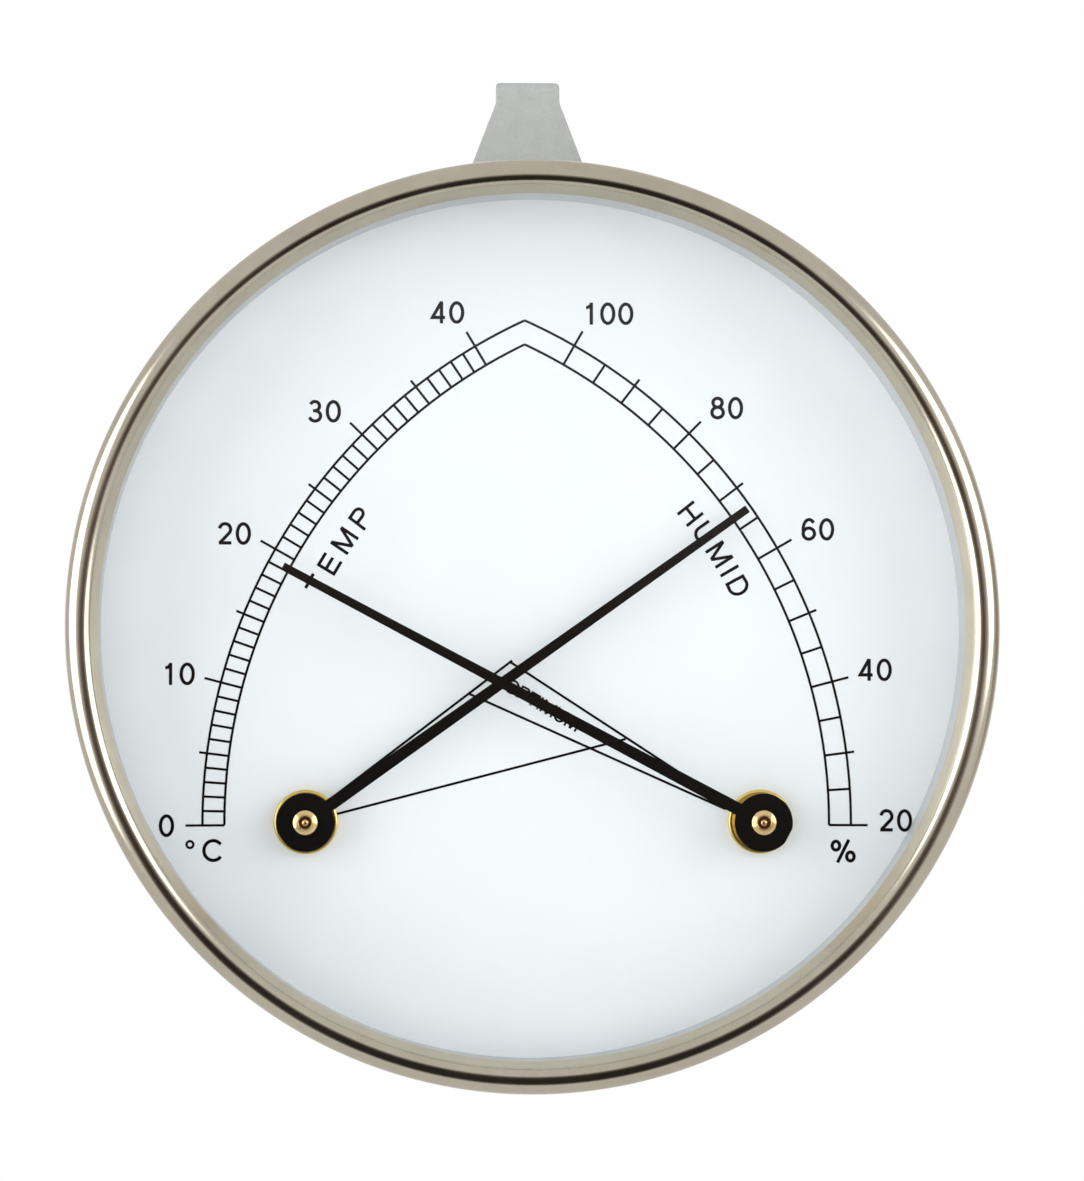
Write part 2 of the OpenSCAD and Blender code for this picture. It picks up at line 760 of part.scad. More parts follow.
// Lever held by friction on the bridge's boss: one arm holds the coil's stud,
// the other ends in a finger that is reached through the slot in the case's back
module thermo_regulator() {
  color("lightsteelblue") thermo_frame() difference() {
    union() {
      translate([0, 0, regulator_at]) {
        cylinder(r = regulator_ring_r, h = regulator_t);
        bar([0, 0], [stud_at, 0], regulator_w, regulator_t);
        bar([0, 0], [-finger_r, 0], finger_w, regulator_t);
      }
      translate([-finger_r - regulator_t / 2, -finger_w / 2, regulator_at])
        cube([regulator_t, finger_w, finger_end - regulator_at]);
    }
    translate([0, 0, regulator_at - over]) {
      cylinder(r = boss_r + run_gap, h = regulator_t + 2 * over);
      translate([stud_at, 0, 0]) cylinder(r = stud_tenon_r + seat_gap, h = regulator_t + 2 * over);
    }
  }
}

module regulator_stud() {
  color("silver") thermo_frame() translate([stud_at, 0, 0]) {
    translate([0, 0, coil_from]) cylinder(r = stud_r, h = regulator_at - coil_from);
    translate([0, 0, regulator_at]) cylinder(r = stud_tenon_r, h = regulator_t);
  }
}

// Long plate behind the dial: round at the pivot, straight along the hair
module hygro_base() {
  color("khaki") hygro_frame() translate([0, 0, base_at]) difference() {
    union() {
      cylinder(r = shank_r + plate_lobe, h = base_t);
      bar([0, -hygro_pillar_r], [0, hygro_pillar_r], 2 * plate_end_r, base_t);
      translate([0, hygro_base_shift - hygro_base_w / 2, 0])
        cube([hygro_base_len - hygro_base_w / 2, hygro_base_w, base_t]);
      translate([hygro_base_len - hygro_base_w / 2, hygro_base_shift, 0])
        cylinder(d = hygro_base_w, h = base_t);
    }
    translate([0, 0, -over]) {
      cylinder(r = shank_r + tenon_gap, h = base_t + 2 * over);
      for (p = [[0, -hygro_pillar_r], [0, hygro_pillar_r], [clamp_at, lever_y]]) {
        translate([p[0], p[1], 0]) cylinder(r = tenon_r + tenon_gap, h = base_t + 2 * over);
      }
      translate([adjuster_at, lever_y, 0])
        cylinder(r = adjuster_tip_r + run_gap, h = base_t + 2 * over);
    }
  }
}

module hygro_pillars() {
  color("khaki") hygro_frame() for (end = [-1, 1]) pillar([0, end * hygro_pillar_r]);
}

module hygro_bridge_screws() {
  color("slategray") hygro_frame() for (end = [-1, 1]) bridge_screw([0, end * hygro_pillar_r]);
}

module hygro_bridge() {
  a = [0, -hygro_pillar_r];
  b = [0, hygro_pillar_r];
  color("khaki") hygro_frame() translate([0, 0, bridge_at]) difference() {
    union() {
      bar(a, b, bridge_w, bridge_t);
      cylinder(r = boss_r + bridge_lobe, h = bridge_t);
      bar([0, 0], [-spring_stud_at, 0], spring_arm_w, bridge_t);
    }
    translate([0, 0, -over]) {
      cylinder(r = pivot_hole_r, h = bridge_t + 2 * over);
      translate([-spring_stud_at, 0, 0])
        cylinder(r = spring_tenon_r + seat_gap, h = bridge_t + 2 * over);
      for (p = [a, b]) {
        translate([p[0], p[1], 0]) cylinder(r = screw_hole_r, h = bridge_t + 2 * over);
      }
    }
  }
}

// Grooved pulley with the hairspring's hub behind it
module hygro_pulley() {
  groove_r = pulley_d / 2;
  cheek_r = cheek_d / 2;
  groove_end = groove_from + groove_w;
  cheek_end = groove_end + cheek_t;
  color("goldenrod") hygro_frame() rotate_extrude()
    polygon([[seat_r, pulley_from], [cheek_r, pulley_from], [cheek_r, groove_from],
      [groove_r, groove_from], [groove_r, groove_end], [cheek_r, groove_end],
      [cheek_r, cheek_end], [spring_hub_r, cheek_end], [spring_hub_r, spring_hub_end],
      [seat_r, spring_hub_end]]);
}

// The thread's turn round the pulley, starting where it leaves towards the hair
module pulley_wrap() {
  color("ivory") hygro_frame() translate([0, 0, groove_mid]) rotate([0, 0, -90 - wrap_angle])
    rotate_extrude(angle = wrap_angle) translate([-pull_y, 0]) circle(r = thread_r, $fn = 24);
}

module pull_thread() {
  color("ivory") hygro_frame() translate([thread_from, pull_y, groove_mid]) rotate([0, 90, 0])
    cylinder(r = thread_r, h = link_from - thread_from);
}

module hair_link() {
  color("goldenrod") hygro_frame() translate([link_from, pull_y, groove_mid]) rotate([0, 90, 0])
    cylinder(d = link_d, h = link_len);
}

// Seven strands between the link and the clamp
module hair_bundle() {
  from = link_from + link_len;
  len = clamp_at - clamp_w / 2 - from;
  color("tan") hygro_frame() translate([from, pull_y, groove_mid]) rotate([0, 90, 0]) {
    cylinder(d = strand_d, h = len);
    for (i = [0:5]) {
      rotate([0, 0, i * 60]) translate([strand_ring_r, 0, 0]) cylinder(d = strand_d, h = len);
    }
  }
}

module hair_clamp() {
  color("goldenrod") hygro_frame()
    translate([clamp_at - clamp_w / 2, pull_y - clamp_w / 2, lever_rear])
      cube([clamp_w, clamp_w, clamp_h]);
}

// Bell crank: short arm to the clamp, long tail with a slot for the adjuster
module hair_lever() {
  pivot = [clamp_at, lever_y];
  slot_from = adjuster_at - lever_slot_back;
  slot_to = adjuster_at + eccentric + lever_slot_ahead;
  color("lightsteelblue") hygro_frame() translate([0, 0, lever_at]) difference() {
    union() {
      bar([clamp_at, pull_y], pivot, lever_bar_w, lever_t);
      translate([pivot[0], pivot[1], 0]) cylinder(r = lever_disc_r, h = lever_t);
      bar([adjuster_at, lever_y], pivot, lever_tail_w, lever_t);
    }
    translate([0, 0, -over]) {
      translate(pivot) cylinder(r = lever_pivot_r + run_gap, h = lever_t + 2 * over);
      bar([slot_from, lever_y], [slot_to, lever_y], 2 * lever_slot_half, lever_t + 2 * over);
    }
  }
}

// Shoulder screw that the hair lever turns on
module lever_screw() {
  head_from = lever_rear + axial_gap;
  color("slategray") hygro_frame() translate([clamp_at, lever_y, 0]) difference() {
    union() {
      translate([0, 0, base_at]) cylinder(r = tenon_r, h = base_t);
      translate([0, 0, base_rear]) cylinder(r = lever_pivot_r, h = head_from - base_rear);
      translate([0, 0, head_from]) cylinder(r = lever_screw_head_r, h = screw_head_h);
    }
    translate([0, 0, head_from + screw_head_h])
      driver_slot(lever_screw_head_r, slot_w, slot_depth);
  }
}

// Long-headed eccentric screw: its slotted end lies behind the access hole
module hygro_adjuster() {
  disc_from = base_rear + axial_gap;
  head_from = lever_rear + adjuster_head_gap;
  color("goldenrod") hygro_frame() translate([adjuster_at, lever_y, 0]) difference() {
    union() {
      translate([0, 0, base_at + touch_gap]) cylinder(r = adjuster_tip_r, h = base_t + axial_gap);
      translate([eccentric, 0, disc_from]) cylinder(r = eccentric_r, h = head_from - disc_from);
      translate([0, 0, head_from]) cylinder(r = adjuster_r, h = adjuster_end - head_from);
    }
    translate([0, 0, adjuster_end])
      driver_slot(adjuster_r, adjuster_slot_w, adjuster_slot_depth);
  }
}

module hygro_hairspring() {
  color("peru") hygro_frame() rotate([0, 0, 180]) translate([0, 0, spring_from])
    spiral_strip(spring_in_r, spring_out_r, spring_turns, spring_t, spring_w, 20);
}

module hairspring_stud() {
  color("silver") hygro_frame() translate([-spring_stud_at, 0, 0]) {
    translate([0, 0, spring_from]) cylinder(r = spring_stud_r, h = bridge_at - spring_from);
    translate([0, 0, bridge_at]) cylinder(r = spring_tenon_r, h = bridge_t);
  }
}

bezel();
glass();
spacer_ring();
dial_plate();
case_cup();
hanger();
hanger_rivets();
thermo_collar();
hygro_collar();
thermo_pointer();
hygro_pointer();
thermo_collet();
hygro_collet();
thermo_arbor();
hygro_arbor();
coil_hub();
bimetal_coil();
thermo_base();
thermo_pillars();
thermo_bridge();
thermo_bridge_screws();
thermo_regulator();
regulator_stud();
hygro_base();
hygro_pillars();
hygro_bridge();
hygro_bridge_screws();
hygro_pulley();
pulley_wrap();
pull_thread();
hair_link();
hair_bundle();
hair_clamp();
hair_lever();
lever_screw();
hygro_adjuster();
hygro_hairspring();
hairspring_stud();
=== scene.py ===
import json
import math
from collections import namedtuple
import bmesh
import bpy
from mathutils import Matrix, Vector
from mathutils.geometry import delaunay_2d_cdt


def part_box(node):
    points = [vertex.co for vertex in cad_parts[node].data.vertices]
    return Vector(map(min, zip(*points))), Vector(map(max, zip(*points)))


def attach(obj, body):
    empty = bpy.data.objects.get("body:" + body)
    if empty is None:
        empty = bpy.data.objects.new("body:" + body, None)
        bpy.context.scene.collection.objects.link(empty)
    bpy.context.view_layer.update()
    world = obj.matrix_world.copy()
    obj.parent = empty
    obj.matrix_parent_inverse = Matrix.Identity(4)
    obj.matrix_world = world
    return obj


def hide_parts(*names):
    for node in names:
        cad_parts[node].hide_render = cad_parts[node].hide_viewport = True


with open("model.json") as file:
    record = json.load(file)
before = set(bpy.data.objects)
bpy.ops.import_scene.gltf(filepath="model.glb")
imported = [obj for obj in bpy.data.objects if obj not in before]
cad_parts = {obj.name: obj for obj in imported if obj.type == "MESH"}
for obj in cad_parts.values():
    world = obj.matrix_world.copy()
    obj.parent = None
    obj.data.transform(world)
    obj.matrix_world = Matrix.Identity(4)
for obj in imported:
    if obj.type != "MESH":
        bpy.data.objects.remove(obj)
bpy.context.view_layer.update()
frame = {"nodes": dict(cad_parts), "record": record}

MM = 0.001

# Round nodes lie about a line along Y: its x and z, the front and rear y, and the outside radius
Place = namedtuple("Place", "x z front rear radius")


def round_place(node):
    """Where a round node of the frame is."""
    low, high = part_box(node)
    return Place((low.x + high.x) / 2, (low.z + high.z) / 2, low.y, high.y, (high.z - low.z) / 2)


BEZEL = round_place("bezel")
GLASS = round_place("glass")
DIAL = round_place("dial_plate")
HUBS = {"thermo": round_place("thermo_collar"), "hygro": round_place("hygro_collar")}
HANDS = {"thermo": "thermo_hand", "hygro": "hygro_hand"}


# Mesh helpers

def mesh_object(name, mesh, sharp=35):
    """An object made of a bmesh, smooth except where faces meet at more than the sharp angle."""
    data = bpy.data.meshes.new(name)
    bmesh.ops.recalc_face_normals(mesh, faces=mesh.faces)
    mesh.to_mesh(data)
    mesh.free()
    data.shade_smooth()
    data.set_sharp_from_angle(angle=math.radians(sharp))
    made = bpy.data.objects.new(name, data)
    bpy.context.scene.collection.objects.link(made)
    flats = made.modifiers.new("flat_faces_stay_flat", "WEIGHTED_NORMAL")
    flats.keep_sharp = True
    return made


def lathe(name, outline, place, steps, closed=True, sharp=35):
    """Outline points (radius, y) turned about the place's line along Y."""
    on_line = 1e-7
    mesh = bmesh.new()
    rings = []
    for radius, y in outline:
        if radius < on_line:
            rings.append([mesh.verts.new((place.x, y, place.z))] * steps)
            continue
        ring = []
        for i in range(steps):
            angle = math.tau * i / steps
            across = radius * math.cos(angle)
            up = radius * math.sin(angle)
            ring.append(mesh.verts.new((place.x + across, y, place.z + up)))
        rings.append(ring)
    pairs = list(zip(rings, rings[1:]))
    if closed:
        pairs.append((rings[-1], rings[0]))
    for a, b in pairs:
        for i in range(steps):
            j = (i + 1) % steps
            corners = list(dict.fromkeys([a[i], a[j], b[j], b[i]]))
            if len(corners) > 2:
                mesh.faces.new(corners)
    return mesh_object(name, mesh, sharp)


def rounded(corners, closed=True, steps=6):
    """Outline through corners (x, y, radius), each turned into an arc of its radius."""
    points = []
    count = len(corners)
    for i, (x, y, radius) in enumerate(corners):
        here = Vector((x, y))
        if radius == 0 or (not closed and i in (0, count - 1)):
            points.append(here)
            continue
        before = (Vector(corners[i - 1][:2]) - here).normalized()
        after = (Vector(corners[(i + 1) % count][:2]) - here).normalized()
        half = before.angle(after) / 2
        middle = here + (before + after).normalized() * radius / math.sin(half)
        spoke = here + before * radius / math.tan(half) - middle
        side = -1 if before.cross(after) > 0 else 1
        turn = side * (math.pi - 2 * half)
        for k in range(steps + 1):
            points.append(middle + Matrix.Rotation(turn * k / steps, 2) @ spoke)
    return points


def arc(x, y, rx, ry, start, end, steps=12):
    """Points on an oval about (x, y), from one angle to another in degrees."""
    points = []
    for i in range(steps + 1):
        angle = math.radians(start + (end - start) * i / steps)
        points.append(Vector((x + rx * math.cos(angle), y + ry * math.sin(angle))))
    return points


def oval(x, y, rx, ry, steps=28):
    """A closed oval, whose last point is its first."""
    points = arc(x, y, rx, ry, 0, 360, steps)
    points[-1] = points[0]
    return points


# Material helpers

def add(tree, kind, sockets=None, **settings):
    """Adds a shader node and fills its sockets with values or links."""
    made = tree.nodes.new("ShaderNode" + kind)
    for name, value in settings.items():
        setattr(made, name, value)
    for name, value in (sockets or {}).items():
        if isinstance(value, bpy.types.NodeSocket):
            tree.links.new(value, made.inputs[name])
        else:
            made.inputs[name].default_value = value
    return made


def new_material(name):
    """A material with its node tree and its Principled shader."""
    made = bpy.data.materials.new(name)
    made.use_nodes = True
    return made, made.node_tree, made.node_tree.nodes["Principled BSDF"]


def calc(tree, operation, a, b=0.0):
    """One step of arithmetic on values or links."""
    return add(tree, "Math", {0: a, 1: b}, operation=operation).outputs[0]


def span(tree, value, low, high, to_low, to_high):
    """Maps a value from one range to another and keeps it inside."""
    sockets = {"Value": value, "From Min": low, "From Max": high, "To Min": to_low, "To Max": to_high}
    return add(tree, "MapRange", sockets).outputs[0]


def blend_colour(tree, factor, a, b):
    """Mixes two colours, given as values or links."""
    made = add(tree, "Mix", {0: factor}, data_type="RGBA")
    for index, value in ((6, a), (7, b)):
        if isinstance(value, bpy.types.NodeSocket):
            tree.links.new(value, made.inputs[index])
        else:
            made.inputs[index].default_value = (*value, 1)
    return made.outputs[2]


def noise(tree, coords, grain, detail=3.0, roughness=0.5):
    """Noise whose lumps are about the grain across, in the coordinates' units."""
    sockets = {"Vector": coords, "Scale": 1 / grain, "Detail": detail, "Roughness": roughness}
    return add(tree, "TexNoise", sockets).outputs["Fac"]


def specks(tree, coords, pitch, size):
    """1 inside sparse round specks: one at most in each cell of the pitch, few of them large."""
    empty_share = 0.55
    soft_rim = 0.04
    cells = add(tree, "TexVoronoi", {"Vector": coords, "Scale": 1 / pitch})
    chance = add(tree, "SeparateColor", {"Color": cells.outputs["Color"]}).outputs[0]
    reach = span(tree, chance, empty_share, 1.0, 0.0, size / pitch)
    inside = calc(tree, "SUBTRACT", reach, cells.outputs["Distance"])
    return span(tree, inside, 0.0, soft_rim, 0.0, 1.0)


def object_coords(tree):
    """The surface point in metres, in the frame that moves with the piece."""
    return add(tree, "TexCoord").outputs["Object"]


def polar_coords(tree, place, around=1.0):
    """Radius from the place's line, y, and the way round it times a factor, as a vector."""
    point = add(tree, "SeparateXYZ", {"Vector": object_coords(tree)})
    x = calc(tree, "SUBTRACT", point.outputs[0], place.x)
    z = calc(tree, "SUBTRACT", point.outputs[2], place.z)
    squares = calc(tree, "ADD", calc(tree, "MULTIPLY", x, x), calc(tree, "MULTIPLY", z, z))
    radius = calc(tree, "SQRT", squares)
    turn = calc(tree, "MULTIPLY", calc(tree, "ARCTAN2", z, x), around * place.radius)
    return add(tree, "CombineXYZ", {0: radius, 1: point.outputs[1], 2: turn}).outputs[0]


def bump(tree, height, distance, strength=1.0):
    """A normal bent by a height of 0 to 1 that stands for the distance in metres."""
    sockets = {"Height": height, "Distance": distance, "Strength": strength}
    return add(tree, "Bump", sockets).outputs["Normal"]


def set_values(shader, **values):
    """Sets constants on the shader's own sockets."""
    for name, value in values.items():
        shader.inputs[name.replace("_", " ")].default_value = value


def link(tree, output, shader, name):
    """Links an output to one of the shader's sockets."""
    tree.links.new(output, shader.inputs[name])


# Materials

def satin_zone(tree, place, radius):
    """Roughness to add inside a radius from the place's line."""
    rise = 0.3
    edge = 0.1 * MM
    middle = (place.x, 0, place.z)
    offset = add(tree, "VectorMath", {0: object_coords(tree), 1: middle}, operation="SUBTRACT")
    flat = add(tree, "VectorMath", {0: offset.outputs[0], 1: (1, 0, 1)}, operation="MULTIPLY")
    reach = add(tree, "VectorMath", {0: flat.outputs[0]}, operation="LENGTH").outputs["Value"]
    return span(tree, reach, radius - edge, radius + edge, rise, 0.0)


def polished_metal(name, place, dark, light, roughness, tarnish, satin_within=0.0):
    """Turned and polished metal: rings round its line, tarnish, dark specks and satin inside a radius."""
    spot_rise = 0.4
    made, tree, shader = new_material(name)
    rings = noise(tree, polar_coords(tree, place, around=0.004), grain=0.05 * MM, detail=4.0, roughness=0.6)
    clouds = noise(tree, object_coords(tree), grain=6 * MM, detail=4.0, roughness=0.6)
    spots = specks(tree, object_coords(tree), pitch=2.2 * MM, size=0.12 * MM)
    colour = blend_colour(tree, span(tree, clouds, 0.35, 0.65, 0.0, 1.0), dark, light)
    link(tree, blend_colour(tree, spots, colour, tarnish), shader, "Base Color")
    uneven = calc(tree, "ADD", span(tree, rings, 0.3, 0.7, -0.03, 0.03), roughness)
    uneven = calc(tree, "ADD", uneven, span(tree, clouds, 0.4, 0.7, 0.0, 0.04))
    uneven = calc(tree, "ADD", uneven, calc(tree, "MULTIPLY", spots, spot_rise))
    if satin_within:
        uneven = calc(tree, "ADD", uneven, satin_zone(tree, place, satin_within))
    link(tree, uneven, shader, "Roughness")
    link(tree, bump(tree, rings, distance=0.0006 * MM), shader, "Normal")
    set_values(shader, Metallic=1.0)
    return made


def stamped_metal(name, dark, light, roughness, grain=0.08):
    """Flat sheet or bar metal with a fine straight grain and slow tarnish."""
    made, tree, shader = new_material(name)
    coords = object_coords(tree)
    sockets = {"Vector": coords, "Scale": (0.06, 1, 1), "Rotation": (0, 0.5, 0)}
    along = add(tree, "Mapping", sockets).outputs[0]
    lines = noise(tree, along, grain=grain * MM, detail=4.0, roughness=0.6)
    clouds = noise(tree, coords, grain=3 * MM, detail=4.0, roughness=0.6)
    colour = blend_colour(tree, span(tree, clouds, 0.3, 0.7, 0.0, 1.0), dark, light)
    link(tree, colour, shader, "Base Color")
    link(tree, span(tree, lines, 0.25, 0.75, roughness - 0.08, roughness + 0.1), shader, "Roughness")
    link(tree, bump(tree, lines, distance=0.003 * MM), shader, "Normal")
    set_values(shader, Metallic=1.0)
    return made


def textured_paint(name, dark, light, roughness):
    """Baked paint with a fine pebbled skin and faint clouding."""
    made, tree, shader = new_material(name)
    coords = object_coords(tree)
    pebbles = noise(tree, coords, grain=0.22 * MM, detail=2.0, roughness=0.5)
    clouds = noise(tree, coords, grain=1.6 * MM, detail=3.0, roughness=0.55)
    tone = calc(tree, "ADD", calc(tree, "MULTIPLY", pebbles, 0.6), calc(tree, "MULTIPLY", clouds, 0.4))
    colour = blend_colour(tree, span(tree, tone, 0.35, 0.65, 0.0, 1.0), dark, light)
    link(tree, colour, shader, "Base Color")
    link(tree, span(tree, pebbles, 0.3, 0.7, roughness - 0.08, roughness + 0.08), shader, "Roughness")
    link(tree, bump(tree, pebbles, distance=0.02 * MM, strength=0.7), shader, "Normal")
    set_values(shader, Specular_IOR_Level=0.45)
    return made


def lacquer(name, dark, light, roughness):
    """Smooth lacquer with a very faint orange peel and a few grains of dust."""
    dust_colour = (0.4, 0.38, 0.34)
    dust_cover = 0.55
    made, tree, shader = new_material(name)
    coords = object_coords(tree)
    peel = noise(tree, coords, grain=0.7 * MM, detail=2.0, roughness=0.5)
    clouds = noise(tree, coords, grain=9 * MM, detail=3.0, roughness=0.5)
    colour = blend_colour(tree, span(tree, clouds, 0.35, 0.65, 0.0, 1.0), dark, light)
    grains = specks(tree, coords, pitch=4.5 * MM, size=0.13 * MM)
    dust = calc(tree, "MULTIPLY", grains, dust_cover)
    link(tree, blend_colour(tree, dust, colour, dust_colour), shader, "Base Color")
    link(tree, span(tree, peel, 0.3, 0.7, roughness - 0.04, roughness + 0.04), shader, "Roughness")
    link(tree, bump(tree, peel, distance=0.002 * MM), shader, "Normal")
    set_values(shader, Coat_Weight=0.15, Coat_Roughness=0.2)
    return made


def matt_black(name, grey, roughness):
    """Black paint or ink with a dusty bloom in places."""
    made, tree, shader = new_material(name)
    coords = object_coords(tree)
    grain = noise(tree, coords, grain=0.06 * MM, detail=3.0, roughness=0.6)
    bloom = noise(tree, coords, grain=2.5 * MM, detail=3.0, roughness=0.6)
    dusty = calc(tree, "MULTIPLY", grain, span(tree, bloom, 0.4, 0.7, 0.3, 1.0))
    dark = (grey * 0.6, grey * 0.6, grey * 0.6)
    light = (grey * 1.5, grey * 1.5, grey * 1.6)
    link(tree, blend_colour(tree, dusty, dark, light), shader, "Base Color")
    link(tree, span(tree, grain, 0.3, 0.7, roughness - 0.06, roughness + 0.06), shader, "Roughness")
    link(tree, bump(tree, grain, distance=0.002 * MM), shader, "Normal")
    set_values(shader, Specular_IOR_Level=0.03)
    return made


def clear_glass(name):
    """Window glass with dust specks. Shadow and diffuse rays pass it, so that light gets behind it."""
    tint = (0.992, 1.0, 1.0)
    dust_colour = (0.42, 0.4, 0.37)
    passed_colour = (0.98, 0.985, 0.985, 1)
    made, tree, shader = new_material(name)
    coords = object_coords(tree)
    dust = specks(tree, coords, pitch=5.5 * MM, size=0.14 * MM)
    smear = noise(tree, coords, grain=14 * MM, detail=4.0, roughness=0.6)
    link(tree, blend_colour(tree, dust, tint, dust_colour), shader, "Base Color")
    link(tree, span(tree, smear, 0.5, 0.8, 0.0, 0.012), shader, "Roughness")
    set_values(shader, Transmission_Weight=1.0, IOR=1.5)
    path = add(tree, "LightPath")
    passing = calc(tree, "MAXIMUM", path.outputs["Is Shadow Ray"], path.outputs["Is Diffuse Ray"])
    through = add(tree, "BsdfTransparent", {"Color": passed_colour})
    both = add(tree, "MixShader", {0: passing})
    tree.links.new(shader.outputs[0], both.inputs[1])
    tree.links.new(through.outputs[0], both.inputs[2])
    tree.links.new(both.outputs[0], tree.nodes["Material Output"].inputs["Surface"])
    return made


def fibres(name, dark, light, lean):
    """Strands that run up at a lean: long streaks of colour and fine ridges."""
    made, tree, shader = new_material(name)
    sockets = {"Vector": object_coords(tree), "Rotation": (0, lean, 0), "Scale": (1, 1, 0.04)}
    along = add(tree, "Mapping", sockets).outputs[0]
    streaks = noise(tree, along, grain=0.05 * MM, detail=3.0, roughness=0.6)
    colour = blend_colour(tree, span(tree, streaks, 0.3, 0.7, 0.0, 1.0), dark, light)
    link(tree, colour, shader, "Base Color")
    link(tree, bump(tree, streaks, distance=0.01 * MM), shader, "Normal")
    set_values(shader, Roughness=0.55)
    return made


def printed_ink():
    """The ink of the scales and words."""
    return matt_black("printed_ink", 0.002, 0.5)


# Bezel and glass

BEZEL_SHEET = 0.5 * MM
RING_W = 3.64 * MM
ROLL_R = 1.82 * MM
SHOULDER_R = 1.35 * MM
BEVEL_ANGLE = 68
LIP_ROUND = 0.12 * MM
CURL_R = 0.15 * MM
CURL_W = 1.4 * MM
# How far the bevel's satin foot reaches outwards from the lip
SATIN_W = 0.75 * MM


def bezel_surface(inset):
    """One surface of the bezel's sheet in section, from the lip to the rear curl, as (radius, y)."""
    crown_x = BEZEL.radius - ROLL_R
    shoulder_r = SHOULDER_R - inset
    curl_r = CURL_R + BEZEL_SHEET - inset
    lip_x = BEZEL.radius - RING_W + inset
    lip_rear = GLASS.front
    shoulder = arc(crown_x, BEZEL.front + SHOULDER_R, shoulder_r, shoulder_r, -90 - BEVEL_ANGLE, -90, 16)
    roll = arc(crown_x, BEZEL.front + ROLL_R, ROLL_R - inset, ROLL_R - inset, -90, 0, 24)
    curl_x = BEZEL.radius - BEZEL_SHEET - CURL_R
    curl = arc(curl_x, BEZEL.rear - BEZEL_SHEET - CURL_R, curl_r, curl_r, 0, 90, 6)
    drop = (shoulder[0].x - lip_x) * math.tan(math.radians(BEVEL_ANGLE))
    bevel_end = shoulder[0].y + drop
    corners = [(lip_x, lip_rear, 0), (lip_x, bevel_end, LIP_ROUND), (*shoulder[0], 0)]
    lip = rounded(corners, closed=False)[:-1]
    end = Vector((curl_x + CURL_R - CURL_W, BEZEL.rear - inset))
    return lip + shoulder + roll[1:] + curl + [end]


def make_bezel():
    """Polished sheet ring: lip, bevel, crown, rolled outer edge and a curl at the rear."""
    outline = bezel_surface(0) + bezel_surface(BEZEL_SHEET)[::-1]
    made = lathe("bezel_ring", outline, BEZEL, steps=320)
    nickel = polished_metal("bezel_nickel", BEZEL, dark=(0.555, 0.50, 0.40), light=(0.615, 0.56, 0.455),
                            roughness=0.14, tarnish=(0.12, 0.09, 0.06),
                            satin_within=BEZEL.radius - RING_W + SATIN_W)
    dress(made, nickel, "instrument", "bezel_metal", "bezel")


def make_glass():
    """Flat pane with ground edges."""
    edge = 0.25 * MM
    corners = [(0, GLASS.front, 0), (GLASS.radius, GLASS.front, edge),
               (GLASS.radius, GLASS.rear, edge), (0, GLASS.rear, 0)]
    made = lathe("glass_pane", rounded(corners, closed=False, steps=3), GLASS, steps=160, closed=False)
    dress(made, clear_glass("glass_clear"), "instrument", "glass", "glass")


def dress(made, material, body, slot, *nodes):
    """Gives a piece its material and its body, and hides the nodes that it stands for. The slot is not
    used.
    """
    made.data.materials.append(material)
    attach(made, body)
    if nodes:
        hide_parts(*nodes)


# Dial print, drawn in millimetres from the middle of the dial, x to the right and y up

# Width of the scales' lines
LINE = 0.27
# Width of a sign's strokes, as a share of its height
STROKE = 0.15
HALF = STROKE / 2
PRINT_T = 0.03 * MM

